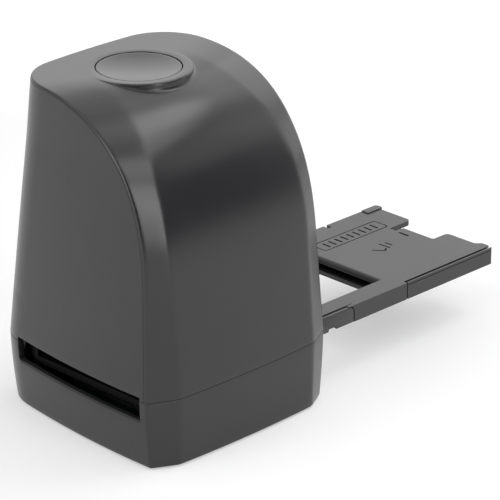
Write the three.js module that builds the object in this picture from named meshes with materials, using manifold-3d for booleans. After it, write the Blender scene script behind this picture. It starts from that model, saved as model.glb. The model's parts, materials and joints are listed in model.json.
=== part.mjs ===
// A desktop film negative scanner. A moulded body with a curved front stands on
// the table, with one round button on its roof. A flat tray for mounted slides
// runs through it from side to side, between a lit diffuser and a small camera.
// Lengths are millimetres. +X is the viewer's right, -Y the curved front, +Z up.
// The origin is on the table, under the middle of the scanning gate.

import * as THREE from "three";
import { mergeVertices } from "three/addons/utils/BufferGeometryUtils.js";
import Module from "manifold-3d";

// Body outline, measured above its own underside
const bodyHeight = 119;
const seamHeight = 24.2;
const seamHalfWidth = 42.3;
const roofHalfWidth = 38.5;
const tableSideDrawIn = 1.7;
const sideDrawIn = 6.6;
const sideWidestDepth = 22.6;
const sideLeanEnd = 100;
const frontRoom = 8.2;
const frontBow = 0.9;
const frontLean = 7.8;
const tableFrontDrawIn = 0.5;
const backRoom = 12.8;
const backLean = 10.4;
const backBulge = 0.8;
const backBow = 0.6;
const tableBackDrawIn = 1.2;
const seamCornerRadius = 15;
const roofCornerRadius = 17.5;
const chamferHalfWidth = 31.5;
const chamferRoofDrawIn = 10;
const chamferDepth = 5.3;
const chamferRearLean = 4.7;
const crownStart = 60;
const crownDepth = 49;
const crownRearDepth = 55;
const crownCornerRoom = 3.6;
const crownChamferStep = 0.6;
const tableEdge = 0.8;

// Shell walls and how they meet
const wall = 2.2;
const seamGap = 0.3;
const hoodRim = 1;
const roofPlugGap = 0.9;
const plugStep = 2.2;
const floorThickness = 2.4;
const slotHeight = 8.6;
const slotAboveSeam = 1.35;
const slotSideRoom = 3.75;
const bossRadius = 2.4;
const bossWallGap = 0.5;
const bossPilotDepth = 3;
const frontBossInset = 7.2;
const hoodBossHeight = 16;
const ribThickness = 1.6;

// Feet
const footRadius = 5;
const footThickness = 1.4;
const footProud = 0.5;
const footScrewRoom = 1.8;

// Slide tray
const slideWidth = 50.6;
const slideBorder = 5.2;
const trayRailWall = 3.35;
const trayThickness = 6.4;
const trayHalfLength = 71.8;
const trayOut = 66.1;
const trayFloor = 1.6;
const lidThickness = 1.9;
const lidLipWidth = 0.6;
const lidLipGap = 0.8;
const lidFrontGap = 0.3;
const lugInset = 1.8;
const lugCorner = 1.6;
const notchFront = 8.2;
const notchBack = 10;
const notchDepth = 9.5;
const pocketLength = 3.8;
const pocketWidth = 2.8;
const slitWidth = 0.6;
const slitLength = 4.2;
const slitPlace = 2.5;
const tabReach = 2.1;
const tabWidth = 4;
const skirtStart = 1.4;
const skirtEnd = 25.7;
const latchLength = 24;
const latchThickness = 1.35;
const latchDrop = 0.4;
const latchCorner = 2.6;
const latchNotchWidth = 4;
const latchNotchHeight = 0.8;
const latchNotchBow = 2.4;
const latchNotchPlace = 8.8;
const clickNotchPlace = 43.5;
const clickNotchWidth = 1.8;
const clickNotchDepth = 1.6;
const clickNotchFloor = 1;
const hingeStripLength = 8.5;
const hingeStripInset = 0.5;
const hingeStripRise = 0.4;
const hingePinRadius = 0.6;
const hingePinBite = 6;
const trayCorner = 1.2;

// Tray guide and scanning gate
const runClearance = 0.4;
const railWidth = 4.35;
const guideFloor = 2.5;
const guideRoof = 1.9;
const guideEndGap = 2;
const gateMargin = 0.4;
const clickSpringLength = 16;
const clickSpringThickness = 0.4;
const clickSpringHeight = 4;
const clickBump = 1;

// Light below the gate
const boardThickness = 1.6;
const boardLift = 2.3;
const lightBoxWall = 3;
const diffuserThickness = 2;
const diffuserDrop = 0.3;
const ledSize = 3.5;
const ledThickness = 1.2;
const ledPitch = 14;

// Camera above the gate
const towerWall = 1.6;
const towerFlange = 5;
const towerTopSize = 20;
const sensorRoom = 9;
const barrelRadius = 7;
const barrelLength = 13;
const barrelShelf = 1;
const lensRadius = 4.6;
const lensThickness = 2.4;
const lensBulge = 0.6;
const sensorSize = 9;
const sensorThickness = 1.3;
const sensorBoardSize = 26;

// Main board on the back wall
const mainBoardWidth = 44;
const mainBoardHeight = 46;
const mainBoardLift = 2.5;
const mainBoardGap = 2.2;
const mainPostInset = 3.6;
const processorSize = 12;
const processorThickness = 1.4;
const socketWidth = 7.7;
const socketHeight = 3.9;
const socketWall = 0.5;
const socketRise = 8;
const socketOpeningRoom = 0.8;
const socketSetback = 0.6;

// Scan button and its switch
const buttonRadius = 14.4;
const buttonGap = 0.35;
const buttonBack = 10.8;
const buttonDrop = 0.15;
const buttonDish = 1.1;
const buttonEdge = 0.5;
const buttonRim = 0.75;
const buttonTravel = 1;
const collarWall = 3.45;
const collarDrop = 0.06;
const collarDepth = 6.5;
const skirtWall = 1.5;
const capThickness = 1.7;
const catchWidth = 0.9;
const catchHeight = 1.2;
const switchBoardLength = 48;
const switchBoardWidth = 14;
const switchSize = 6;
const switchHeight = 3.6;
const plungerRadius = 1.75;
const plungerRise = 1.6;
const postRadius = 2.4;
const springRadius = 5.6;
const springWire = 0.55;

// Screws
const screwRadius = 1.2;
const screwHeadRadius = 2.4;
const screwHeadHeight = 1.6;
const smallScrewRadius = 0.9;
const smallScrewHeadRadius = 1.7;
const smallScrewHeadHeight = 1;
const screwFit = 0.15;

// Clearances that many pieces share
const seat = 0.1;
const running = 0.3;
const overrun = 5;
const weld = 0.5;

// Shape numbers without a length
const crownPower = 2.5;
const sideLeanPower = 1.25;
const tableCurvePower = 1.6;
const screwBossHeightShare = 0.58;
const screwCrownShare = 0.7;
const processorPlaceShare = 0.55;
const springTurns = 5;
const leanShares = [0, 0.5, 1];
const tubShares = [0, 0.12, 0.35, 0.65, 1];
const backBossShares = [0.3, 0.8];

const mergeTolerance = 1e-4;
const roundSides = 20;
const buttonSides = 48;
const smallSides = 12;
const lensSides = 24;
const crownSteps = 11;

// Places that follow from the sizes
const slideHalf = slideWidth / 2;
const windowHalf = slideHalf - slideBorder;
const trayHalfWidth = slideHalf + trayRailWall;
const trayTop = seamHeight;
const trayBottom = trayTop - trayThickness;
const guideTop = trayBottom - running;
const guideBottom = guideTop - guideFloor;
const coverBottom = trayTop + hingeStripRise + running;
const coverTop = coverBottom + guideRoof;
const railInner = trayHalfWidth + runClearance;
const railOuter = railInner + railWidth;
const frontDepth = railOuter + frontRoom;
const backDepth = railOuter + backRoom;
const slotTop = seamHeight + slotAboveSeam;
const slotBottom = slotTop - slotHeight;
const slotHalfWidth = trayHalfWidth + slotSideRoom;
const gateHalf = windowHalf + gateMargin;
const collarOuter = buttonRadius + buttonGap + collarWall;
const collarTop = bodyHeight - collarDrop;
const collarBottom = bodyHeight - collarDepth;
const capTop = bodyHeight - buttonDrop;
const catchTop = collarBottom - running;
const catchBottom = catchTop - catchHeight;

const wasm = await Module();
wasm.setup();

// Solids from three.js geometry

function solidOf(geometry) {
  const flat = geometry.index ? geometry.toNonIndexed() : geometry;
  const bare = new THREE.BufferGeometry();
  bare.setAttribute("position", flat.getAttribute("position"));
  const merged = mergeVertices(bare, mergeTolerance);
  const index = merged.index.array;
  const triVerts = [];
  for (let i = 0; i < index.length; i += 3) {
    const [a, b, c] = [index[i], index[i + 1], index[i + 2]];
    if (a !== b && b !== c && c !== a) triVerts.push(a, b, c);
  }
  return new wasm.Manifold(
    new wasm.Mesh({
      numProp: 3,
      vertProperties: merged.getAttribute("position").array,
      triVerts: new Uint32Array(triVerts),
    }),
  );
}

// Faces that share a plane are given the very same number, so that they join cleanly
function snapEnds(geometry, axis, ends) {
  const points = geometry.getAttribute("position");
  const middle = (ends[0] + ends[1]) / 2;
  for (let i = 0; i < points.count; i++) {
    const end = points.getComponent(i, axis) < middle ? 0 : 1;
    points.setComponent(i, axis, ends[end]);
  }
}

function block(xs, ys, zs) {
  const geometry = new THREE.BoxGeometry(xs[1] - xs[0], ys[1] - ys[0], zs[1] - zs[0]);
  geometry.translate((xs[0] + xs[1]) / 2, (ys[0] + ys[1]) / 2, (zs[0] + zs[1]) / 2);
  [xs, ys, zs].forEach((ends, axis) => snapEnds(geometry, axis, ends));
  return solidOf(geometry);
}

function squareBlock(half, zs) {
  return block([-half, half], [-half, half], zs);
}

function post(x, y, zs, radius, sides = roundSides) {
  const geometry = new THREE.CylinderGeometry(radius, radius, zs[1] - zs[0], sides);
  geometry.rotateX(Math.PI / 2);
  geometry.translate(x, y, (zs[0] + zs[1]) / 2);
  snapEnds(geometry, 2, zs);
  return solidOf(geometry);
}

function postAlongY(x, ys, z, radius, sides = roundSides) {
  const geometry = new THREE.CylinderGeometry(radius, radius, ys[1] - ys[0], sides);
  geometry.translate(x, (ys[0] + ys[1]) / 2, z);
  return solidOf(geometry);
}

function rodAlongX(xs, y, z, radius, sides = roundSides) {
  const geometry = new THREE.CylinderGeometry(radius, radius, xs[1] - xs[0], sides);
  geometry.rotateZ(Math.PI / 2);
  geometry.translate((xs[0] + xs[1]) / 2, y, z);
  snapEnds(geometry, 0, xs);
  return solidOf(geometry);
}

function turned(points, x, y, sides = roundSides) {
  const profile = points.map(([radius, z]) => new THREE.Vector2(radius, z));
  const geometry = new THREE.LatheGeometry(profile, sides);
  geometry.rotateX(Math.PI / 2);
  geometry.translate(x, y, 0);
  return solidOf(geometry);
}

// A closed outline in the YZ plane, carried along X
function sidePrism(points, xs) {
  const shape = new THREE.Shape(points.map(([y, z]) => new THREE.Vector2(y, z)));
  const geometry = new THREE.ExtrudeGeometry(shape, {
    depth: xs[1] - xs[0],
    bevelEnabled: false,
  });
  const alongY = new THREE.Vector3(0, 1, 0);
  const alongZ = new THREE.Vector3(0, 0, 1);
  const alongX = new THREE.Vector3(1, 0, 0);
  geometry.applyMatrix4(new THREE.Matrix4().makeBasis(alongY, alongZ, alongX));
  geometry.translate(xs[0], 0, 0);
  return solidOf(geometry);
}

// A shape in the XZ plane, carried along Y
function frontPrism(shape, ys) {
  const geometry = new THREE.ExtrudeGeometry(shape, {
    depth: ys[1] - ys[0],
    bevelEnabled: false,
    curveSegments: 6,
  });
  geometry.rotateX(Math.PI / 2);
  geometry.translate(0, ys[1], 0);
  snapEnds(geometry, 1, ys);
  return solidOf(geometry);
}

function plate(shape, zs) {
  const geometry = new THREE.ExtrudeGeometry(shape, {
    depth: zs[1] - zs[0],
    bevelEnabled: false,
    curveSegments: 5,
  });
  geometry.translate(0, 0, zs[0]);
  snapEnds(geometry, 2, zs);
  return solidOf(geometry);
}

// Rings of equal point counts, joined wall to wall and closed at both ends
function loft(rings) {
  const count = rings[0].length;
  const positions = [];
  const corner = (ring, i) => rings[ring][i % count];
  const face = (...points) => points.forEach((p) => positions.push(...p));
  for (let r = 0; r + 1 < rings.length; r++) {
    for (let i = 0; i < count; i++) {
      face(corner(r, i), corner(r, i + 1), corner(r + 1, i + 1));
      face(corner(r, i), corner(r + 1, i + 1), corner(r + 1, i));
    }
  }
  const last = rings.length - 1;
  for (let i = 1; i + 1 < count; i++) {
    face(corner(0, 0), corner(0, i + 1), corner(0, i));
    face(corner(last, 0), corner(last, i), corner(last, i + 1));
  }
  const geometry = new THREE.BufferGeometry();
  geometry.setAttribute("position", new THREE.Float32BufferAttribute(positions, 3));
  return solidOf(geometry);
}

function joined(solids) {
  return solids.reduce((sum, solid) => sum.add(solid));
}

function cutBy(solid, tools) {
  return tools.reduce((rest, tool) => rest.subtract(tool), solid);
}

// Body outline in plan at any height

const clamp01 = (value) => Math.min(Math.max(value, 0), 1);
const between = (a, b, share) => a + (b - a) * share;

// The crown is a quarter of a superellipse: how far the front has come back
// at a height, as a share of the crown's depth
function crownShare(z) {
  const rise = clamp01((z - crownStart) / (bodyHeight - crownStart));
  return 1 - Math.pow(1 - Math.pow(rise, crownPower), 1 / crownPower);
}

function outlineAt(z) {
  const above = clamp01((z - seamHeight) / (bodyHeight - seamHeight));
  const below = Math.pow(clamp01(1 - z / seamHeight), tableCurvePower);
  const rise = clamp01((z - crownStart) / (bodyHeight - crownStart));
  const leaning = Math.pow(
    clamp01((sideLeanEnd - z) / (sideLeanEnd - seamHeight)),
    sideLeanPower,
  );
  const halfWidth =
    roofHalfWidth +
    (seamHalfWidth - roofHalfWidth) * leaning -
    tableSideDrawIn * below;
  const innerDepth =
    frontDepth -
    frontBow -
    tableFrontDrawIn * below -
    frontLean * above -
    crownDepth * crownShare(z);
  const outerDepth =
    frontDepth -
    frontBow -
    chamferDepth -
    chamferRearLean * above -
    crownRearDepth * crownShare(z);
  const backY =
    backDepth -
    tableBackDrawIn * below -
    backLean * above +
    4 * backBulge * above * (1 - above);
  const corner = between(seamCornerRadius, roofCornerRadius, above);
  const outerY = Math.min(-outerDepth, backY - corner - crownCornerRoom);
  return {
    halfWidth,
    innerX: chamferHalfWidth - chamferRoofDrawIn * Math.pow(rise, 3),
    innerY: Math.min(-innerDepth, outerY - crownChamferStep),
    outerY,
    backY,
    corner,
  };
}

function sideX(outline, y) {
  const run = (y + sideWidestDepth) / (backDepth + sideWidestDepth);
  return outline.halfWidth - sideDrawIn * run * run;
}

// Half of the outline from the middle of the front to the middle of the back
function halfOutline(o) {
  const points = [];
  const frontShares = [0, 0.35, 0.7, 1];
  for (const share of frontShares) {
    points.push([o.innerX * share, o.innerY - frontBow * (1 - share * share)]);
  }
  const cornerY = o.backY - o.corner;
  const sideSteps = 6;
  for (let i = 0; i <= sideSteps; i++) {
    const y = between(o.outerY, cornerY, i / sideSteps);
    points.push([sideX(o, y), y]);
  }
  const middleX = sideX(o, cornerY) - o.corner;
  const arcSteps = 7;
  for (let i = 1; i <= arcSteps; i++) {
    const turn = (i / arcSteps) * (Math.PI / 2);
    const x = middleX + o.corner * Math.cos(turn);
    points.push([x, cornerY + o.corner * Math.sin(turn)]);
  }
  const backShares = [0.5, 0];
  for (const share of backShares) {
    points.push([middleX * share, o.backY + backBow * (1 - share * share)]);
  }
  return points;
}

// The whole outline, moved inwards by a wall
function ring(z, inset, atHeight = z) {
  const half = halfOutline(outlineAt(z));
  const mirrored = half
    .slice(1, -1)
    .reverse()
    .map(([x, y]) => [-x, y]);
  const points = [...half, ...mirrored];
  const count = points.length;
  return points.map((p, i) => {
    const before = points[(i + count - 1) % count];
    const after = points[(i + 1) % count];
    const a = new THREE.Vector2(p[1] - before[1], before[0] - p[0]).normalize();
    const b = new THREE.Vector2(after[1] - p[1], p[0] - after[0]).normalize();
    const reach = inset / (1 + a.dot(b));
    return [p[0] - (a.x + b.x) * reach, p[1] - (a.y + b.y) * reach, atHeight];
  });
}

// Heights at which the crown's curve takes even steps
function crownHeights(steps) {
  const heights = [];
  for (let i = 1; i <= steps; i++) {
    const turn = (i / steps) * (Math.PI / 2);
    const rise = Math.pow(Math.sin(turn), 2 / crownPower);
    heights.push(between(crownStart, bodyHeight, rise));
  }
  return heights;
}

const leanHeights = leanShares.map((share) => between(seamHeight, crownStart, share));
const upperHeights = [...leanHeights, ...crownHeights(crownSteps)];
const upperBottom = seamHeight + seamGap;

const outerUpper = loft(
  upperHeights.map((z, i) => ring(z, 0, i === 0 ? upperBottom : z)),
);

// The hollow keeps the wall under the crown by going down with the roof
function hollowUpper(inset, roof) {
  const start = seamHeight - overrun;
  const rings = upperHeights.map((z) => ring(z, inset, z - roof));
  return loft([ring(seamHeight, inset, start), ...rings.slice(1)]);
}

function tallHollow(inset) {
  const rings = upperHeights.slice(1, -1).map((z) => ring(z, inset));
  const first = ring(seamHeight, inset, seamHeight - overrun);
  return loft([first, ...rings, ring(bodyHeight, inset, bodyHeight + overrun)]);
}

// Everything behind the line where the hood meets the rear shell
function behindHood(setback) {
  const far = backDepth + overrun;
  const under = seamHeight - overrun;
  const edge = upperHeights.map((z) => [outlineAt(z).outerY + setback, z - setback]);
  const first = outlineAt(seamHeight).outerY + setback;
  const top = bodyHeight - setback;
  const points = [[first, under], ...edge.slice(1), [far, top], [far, under]];
  const reach = seamHalfWidth + overrun;
  return sidePrism(points, [-reach, reach]);
}

const tubHeights = tubShares.map((share) => share * seamHeight);

// The room inside the tub, and on up to the upper shells
function hollowBase(inset, top) {
  return loft([
    ...tubHeights.map((z) => ring(z, inset)),
    ring(seamHeight, inset, top),
  ]);
}

// The tray guide and its cover keep every column of the shells clear of them
function guideRoom() {
  const halfLength = guideHalfLength + running;
  const halfWidth = railOuter + running;
  return block(
    [-halfLength, halfLength],
    [-halfWidth, halfWidth],
    [guideBottom - running, coverTop + running],
  );
}

function slotCut() {
  const reach = seamHalfWidth + overrun;
  return block([-reach, reach], [-slotHalfWidth, slotHalfWidth], [slotBottom, slotTop]);
}

// Screw places, mirrored left and right

const mirroredPair = (place) => [
  { side: "left", x: -place.x, y: place.y },
  { side: "right", x: place.x, y: place.y },
];

const seamOutline = outlineAt(seamHeight);
const bossReach = wall + bossWallGap + bossRadius;
const frontBossPlace = {
  x: chamferHalfWidth - frontBossInset,
  y: seamOutline.innerY + bossReach,
};
const rearCorner = {
  y: seamOutline.backY - seamCornerRadius,
  x: sideX(seamOutline, seamOutline.backY - seamCornerRadius) - seamCornerRadius,
};
const rearBossRun = (seamCornerRadius - bossReach) * Math.SQRT1_2;
const rearBossPlace = { x: rearCorner.x + rearBossRun, y: rearCorner.y + rearBossRun };
const bossBottom = seamHeight * screwBossHeightShare;
const pilotTop = seamHeight + bossPilotDepth;

const guideHalfLength =
  sideX(seamOutline, railOuter) - tableSideDrawIn - wall - guideEndGap;
const guideScrewX = guideHalfLength - smallScrewHeadRadius - seat;
const guideScrewY = (railInner + railOuter) / 2;
const guideScrewPlaces = [
  { name: "front_left", x: -guideScrewX, y: -guideScrewY },
  { name: "front_right", x: guideScrewX, y: -guideScrewY },
  { name: "rear_left", x: -guideScrewX, y: guideScrewY },
  { name: "rear_right", x: guideScrewX, y: guideScrewY },
];

function screwSolid(place, headZ, tipZ, radius, headRadius, headHeight, downwards) {
  const out = downwards ? 1 : -1;
  const headFar = headZ + out * headHeight;
  const headMid = headZ + (out * headHeight) / 2;
  const tipStart = tipZ + out * radius;
  const points = [
    [0, tipZ],
    [radius / 2, tipZ],
    [radius, tipStart],
    [radius, headZ],
    [headRadius, headZ],
    [headRadius, headMid],
    [headRadius * screwCrownShare, headFar],
    [0, headFar],
  ];
  const upwards = downwards ? points : points.reverse();
  return turned(upwards, place.x, place.y, smallSides);
}

// Finishes

function finish(color, roughness, metalness = 0) {
  return new THREE.MeshStandardMaterial({ color, roughness, metalness });
}

const finishes = {
  shell: finish(0x4a4a4c, 0.55),
  button: finish(0x565658, 0.5),
  tray: finish(0x58585a, 0.6),
  inner: finish(0x1d1d1f, 0.8),
  rubber: finish(0x1a1a1a, 0.9),
  steel: finish(0xb9bbbe, 0.35, 1),
  board: finish(0x1f5a36, 0.5),
  chip: finish(0x18181a, 0.45),
  white: finish(0xf2f2ee, 0.7),
  led: finish(0xf6e9a8, 0.4),
  glass: finish(0xbfd3d8, 0.05),
};

const scanner = new THREE.Group();
const fixed = new THREE.Group();
const moving = new THREE.Group();
fixed.position.z = footProud;
moving.position.z = footProud;
scanner.add(fixed, moving);

function addPiece(group, name, solid, material) {
  const mesh = solid.getMesh();
  const geometry = new THREE.BufferGeometry();
  const positions = new Float32Array(mesh.vertProperties);
  geometry.setAttribute("position", new THREE.BufferAttribute(positions, 3));
  geometry.setIndex(new THREE.BufferAttribute(new Uint32Array(mesh.triVerts), 1));
  geometry.computeVertexNormals();
  const piece = new THREE.Mesh(geometry, material);
  piece.name = name;
  group.add(piece);
}

// Base housing: the tub under the seam, with the tray's slots in its rim

const footStep = footRadius + screwHeadRadius + footScrewRoom;
const footRows = [
  { row: "front", x: frontBossPlace.x, y: frontBossPlace.y + footStep },
  { row: "rear", x: rearBossPlace.x - footRadius / 2, y: rearBossPlace.y - footStep },
];
const footPlaces = footRows.flatMap((place) =>
  mirroredPair(place).map((p) => ({ ...p, name: "foot_" + place.row + "_" + p.side })),
);

function baseHousing() {
  const rings = tubHeights.map((z) => ring(z, 0));
  const lifted = ring(0, 0, tableEdge);
  const tub = loft([ring(0, tableEdge / 2, 0), lifted, ...rings.slice(1)]);
  const overFloor = squareBlock(backDepth + overrun, [floorThickness, bodyHeight]);
  const hollow = hollowBase(wall, seamHeight + overrun).intersect(overFloor);
  const screwBosses = [...mirroredPair(frontBossPlace), ...mirroredPair(rearBossPlace)];
  const bossTop = bossBottom - seat;
  const bossBase = floorThickness - weld;
  const boardLegs = guideScrewPlaces.map((p) => {
    const x = Math.sign(p.x) * (gateHalf - lightBoxWall / 2);
    const y = Math.sign(p.y) * (gateHalf - lightBoxWall / 2);
    return post(x, y, [bossBase, floorThickness + boardLift], bossRadius, smallSides);
  });
  const guideLegs = guideScrewPlaces.map((p) =>
    post(p.x, p.y, [bossBase, guideBottom - seat], bossRadius),
  );
  const body = joined([
    tub.subtract(hollow),
    ...screwBosses.map((p) => post(p.x, p.y, [bossBase, bossTop], screwHeadRadius + wall / 2)),
    ...boardLegs,
    ...guideLegs,
  ]);
  const headRoom = screwHeadRadius + screwFit;
  return cutBy(body.intersect(tub), [
    slotCut(),
    ...screwBosses.map((p) => post(p.x, p.y, [-overrun, baseScrewSeat], headRoom)),
    ...screwBosses.map((p) => post(p.x, p.y, [0, bodyHeight], screwRadius + screwFit)),
    ...guideScrewPlaces.map((p) =>
      post(p.x, p.y, [guideScrewTip - seat, bodyHeight], smallScrewRadius + screwFit, smallSides),
    ),
    ...footPlaces.map((p) =>
      post(p.x, p.y, [-overrun, footThickness - footProud], footRadius + seat),
    ),
  ]);
}

const baseScrewSeat = floorThickness + screwHeadHeight;
const guideScrewTip = (floorThickness + guideBottom) / 2;

// Upper shells

function screwColumns(place, top) {
  return mirroredPair(place).map((p) => post(p.x, p.y, [bossBottom, top], bossRadius));
}

// A rib ties each column to the wall behind it
function columnRibs(place, top, outY) {
  const low = upperBottom + seat;
  return mirroredPair(place).map((p) => {
    const farY = p.y + outY * (bossReach - wall / 3);
    const ys = [Math.min(p.y, farY), Math.max(p.y, farY)];
    const halfRib = ribThickness / 2;
    return block([p.x - halfRib, p.x + halfRib], ys, [low, top]);
  });
}

function pilotHoles(place) {
  return mirroredPair(place).map((p) =>
    post(p.x, p.y, [-overrun, pilotTop], screwRadius + screwFit),
  );
}

const columnTop = seamHeight + hoodBossHeight;

// The switch board hangs from two posts under the roof
const switchBoardTop = catchBottom - buttonTravel - running - plungerRise - switchHeight;
const switchPostX = switchBoardLength / 2 - bossRadius - seat;
const switchPostPlaces = mirroredPair({ x: switchPostX, y: buttonBack });
const switchScrewTop = switchBoardTop + collarDepth;

function frontHood() {
  const shell = outerUpper.subtract(hollowUpper(wall, wall));
  const rim = shell.subtract(behindHood(hoodRim));
  const plugInset = wall + roofPlugGap;
  const plug = loft([
    ring(bodyHeight - plugStep, plugInset, bodyHeight - wall),
    ring(bodyHeight, plugInset, bodyHeight - hoodRim / 2),
  ]);
  const collar = post(0, buttonBack, [collarBottom, collarTop], collarOuter, buttonSides);
  const columns = [
    ...screwColumns(frontBossPlace, columnTop),
    ...columnRibs(frontBossPlace, columnTop, -1),
  ];
  const posts = switchPostPlaces.map((p) =>
    post(p.x, p.y, [switchBoardTop + seat, bodyHeight - wall + weld], bossRadius),
  );
  const whole = joined([rim, plug, collar, ...posts]);
  const inside = outerUpper.add(hollowBase(wall + bossWallGap / 2, upperBottom));
  const kept = joined(columns).intersect(inside);
  return cutBy(whole.add(kept), [
    slotCut(),
    guideRoom(),
    post(
      0,
      buttonBack,
      [collarBottom - overrun, bodyHeight + overrun],
      buttonRadius + buttonGap,
      buttonSides,
    ),
    ...pilotHoles(frontBossPlace),
    ...switchPostPlaces.map((p) =>
      post(p.x, p.y, [0, switchScrewTop], smallScrewRadius + screwFit, smallSides),
    ),
  ]);
}

// Main board and socket on the back wall
const mainBoardBack = railOuter - mainBoardGap;
const mainBoardFront = mainBoardBack - boardThickness;
const mainBoardBottom = coverTop + mainBoardLift;
const mainBoardTop = mainBoardBottom + mainBoardHeight;
const mainPostPlaces = backBossShares.flatMap((share) =>
  mirroredPair({
    x: mainBoardWidth / 2 - mainPostInset,
    y: between(mainBoardBottom, mainBoardTop, share),
  }),
);
const socketZ = mainBoardBottom + socketRise;
const backInnerAt = (z) => outlineAt(z).backY - wall;

function rearShell() {
  const shell = outerUpper.subtract(tallHollow(wall));
  const cover = shell.intersect(behindHood(hoodRim + seamGap));
  const columns = [
    ...screwColumns(rearBossPlace, columnTop),
    ...columnRibs(rearBossPlace, columnTop, 1),
  ];
  const inside = outerUpper.add(hollowBase(wall + bossWallGap / 2, upperBottom));
  const boardPosts = mainPostPlaces.map((p) =>
    postAlongY(p.x, [mainBoardBack + seat, backDepth], p.y, bossRadius),
  );
  const kept = joined([...columns, ...boardPosts]).intersect(inside);
  const halfW = socketWidth / 2 + socketOpeningRoom;
  const halfH = socketHeight / 2 + socketOpeningRoom;
  const socketCut = block(
    [-halfW, halfW],
    [backInnerAt(mainBoardTop) - overrun, backDepth + overrun],
    [socketZ - halfH, socketZ + halfH],
  );
  return cutBy(cover.add(kept), [
    slotCut(),
    guideRoom(),
    socketCut,
    ...pilotHoles(rearBossPlace),
    ...mainPostPlaces.map((p) =>
      postAlongY(p.x, [0, mainScrewTip], p.y, smallScrewRadius + screwFit, smallSides),
    ),
  ]);
}

const mainScrewTip = mainBoardBack + smallScrewHeadRadius * 2;

addPiece(fixed, "base_housing", baseHousing(), finishes.shell);
addPiece(fixed, "front_hood", frontHood(), finishes.shell);
addPiece(fixed, "rear_shell", rearShell(), finishes.shell);

for (const p of footPlaces) {
  const top = footThickness - footProud - seat;
  const foot = turned(
    [
      [0, -footProud],
      [footRadius - footProud, -footProud],
      [footRadius, 0],
      [footRadius, top],
      [0, top],
    ],
    p.x,
    p.y,
  );
  addPiece(fixed, p.name, foot, finishes.rubber);
}

const baseScrewPlaces = [
  ...mirroredPair(frontBossPlace).map((p) => ({ ...p, name: "base_screw_front_" + p.side })),
  ...mirroredPair(rearBossPlace).map((p) => ({ ...p, name: "base_screw_rear_" + p.side })),
];
for (const p of baseScrewPlaces) {
  const screw = screwSolid(
    p,
    baseScrewSeat - seat,
    pilotTop - seat,
    screwRadius,
    screwHeadRadius,
    screwHeadHeight,
    false,
  );
  addPiece(fixed, p.name, screw, finishes.steel);
}

// Tray guide: a floor with a rail along each side, and a cover with the gate

function gateCut(half) {
  return squareBlock(half, [-overrun, bodyHeight]);
}

const clickPocketHalf = clickSpringLength / 2 + running;
const clickPocketDeep = clickSpringThickness + clickBump + running;

function trayGuide() {
  const xs = [-guideHalfLength, guideHalfLength];
  const floor = block(xs, [-railOuter, railOuter], [guideBottom, guideTop]);
  const rail = (ys) => block(xs, ys, [guideTop - weld, coverBottom - seat]);
  const rails = [rail([-railOuter, -railInner]), rail([railInner, railOuter])];
  const pocketMiddle = (trayBottom + trayTop) / 2;
  const pocketHalf = clickSpringHeight / 2 + running;
  return cutBy(joined([floor, ...rails]), [
    gateCut(gateHalf),
    block(
      [-clickPocketHalf, clickPocketHalf],
      [railInner - weld, railInner + clickPocketDeep],
      [pocketMiddle - pocketHalf, pocketMiddle + pocketHalf],
    ),
    ...guideScrewPlaces.map((p) =>
      post(p.x, p.y, [0, bodyHeight], smallScrewRadius + screwFit, smallSides),
    ),
  ]);
}

const towerScrewX = gateHalf + towerWall + towerFlange / 2;

function guideCover() {
  const xs = [-guideHalfLength, guideHalfLength];
  const cover = block(xs, [-railOuter, railOuter], [coverBottom, coverTop]);
  const screwHoles = guideScrewPlaces.map((p) =>
    post(p.x, p.y, [0, bodyHeight], smallScrewRadius + screwFit, smallSides),
  );
  const towerHoles = mirroredPair({ x: towerScrewX, y: 0 }).map((p) =>
    post(p.x, p.y, [0, bodyHeight], smallScrewRadius + screwFit, smallSides),
  );
  return cutBy(cover, [gateCut(gateHalf), ...screwHoles, ...towerHoles]);
}

// A strip of spring steel, bowed towards the tray between its two flat ends
function clickSpring() {
  const half = clickSpringLength / 2;
  const back = railInner + clickPocketDeep - seat;
  const front = back - clickSpringThickness;
  const bumpHalf = half / 3;
  // A quadratic curve reaches half of the way to its control point
  const bow = 2 * (clickBump - seat);
  const shape = new THREE.Shape();
  shape.moveTo(-half, front);
  shape.lineTo(-bumpHalf, front);
  shape.quadraticCurveTo(0, front - bow, bumpHalf, front);
  shape.lineTo(half, front);
  shape.lineTo(half, back);
  shape.lineTo(bumpHalf, back);
  shape.quadraticCurveTo(0, back - bow, -bumpHalf, back);
  shape.lineTo(-half, back);
  shape.closePath();
  const middle = (trayBottom + trayTop) / 2;
  const halfHeight = clickSpringHeight / 2;
  return plate(shape, [middle - halfHeight, middle + halfHeight]);
}

addPiece(fixed, "tray_guide", trayGuide(), finishes.inner);
addPiece(fixed, "guide_cover", guideCover(), finishes.inner);
addPiece(fixed, "click_spring", clickSpring(), finishes.steel);
for (const p of guideScrewPlaces) {
  const screw = screwSolid(
    p,
    coverTop + seat,
    guideScrewTip,
    smallScrewRadius,
    smallScrewHeadRadius,
    smallScrewHeadHeight,
    true,
  );
  addPiece(fixed, "guide_screw_" + p.name, screw, finishes.steel);
}

// Light below the gate

const lightBoxOuter = gateHalf + lightBoxWall / 2;
const lightBoxInner = gateHalf - lightBoxWall / 2;
const ledBoardBottom = floorThickness + boardLift + seat;
const ledBoardTop = ledBoardBottom + boardThickness;
const diffuserTop = guideTop - diffuserDrop;
const diffuserBottom = diffuserTop - diffuserThickness;
const lightBoxTop = Math.min(guideBottom, diffuserBottom) - seat;

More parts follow.
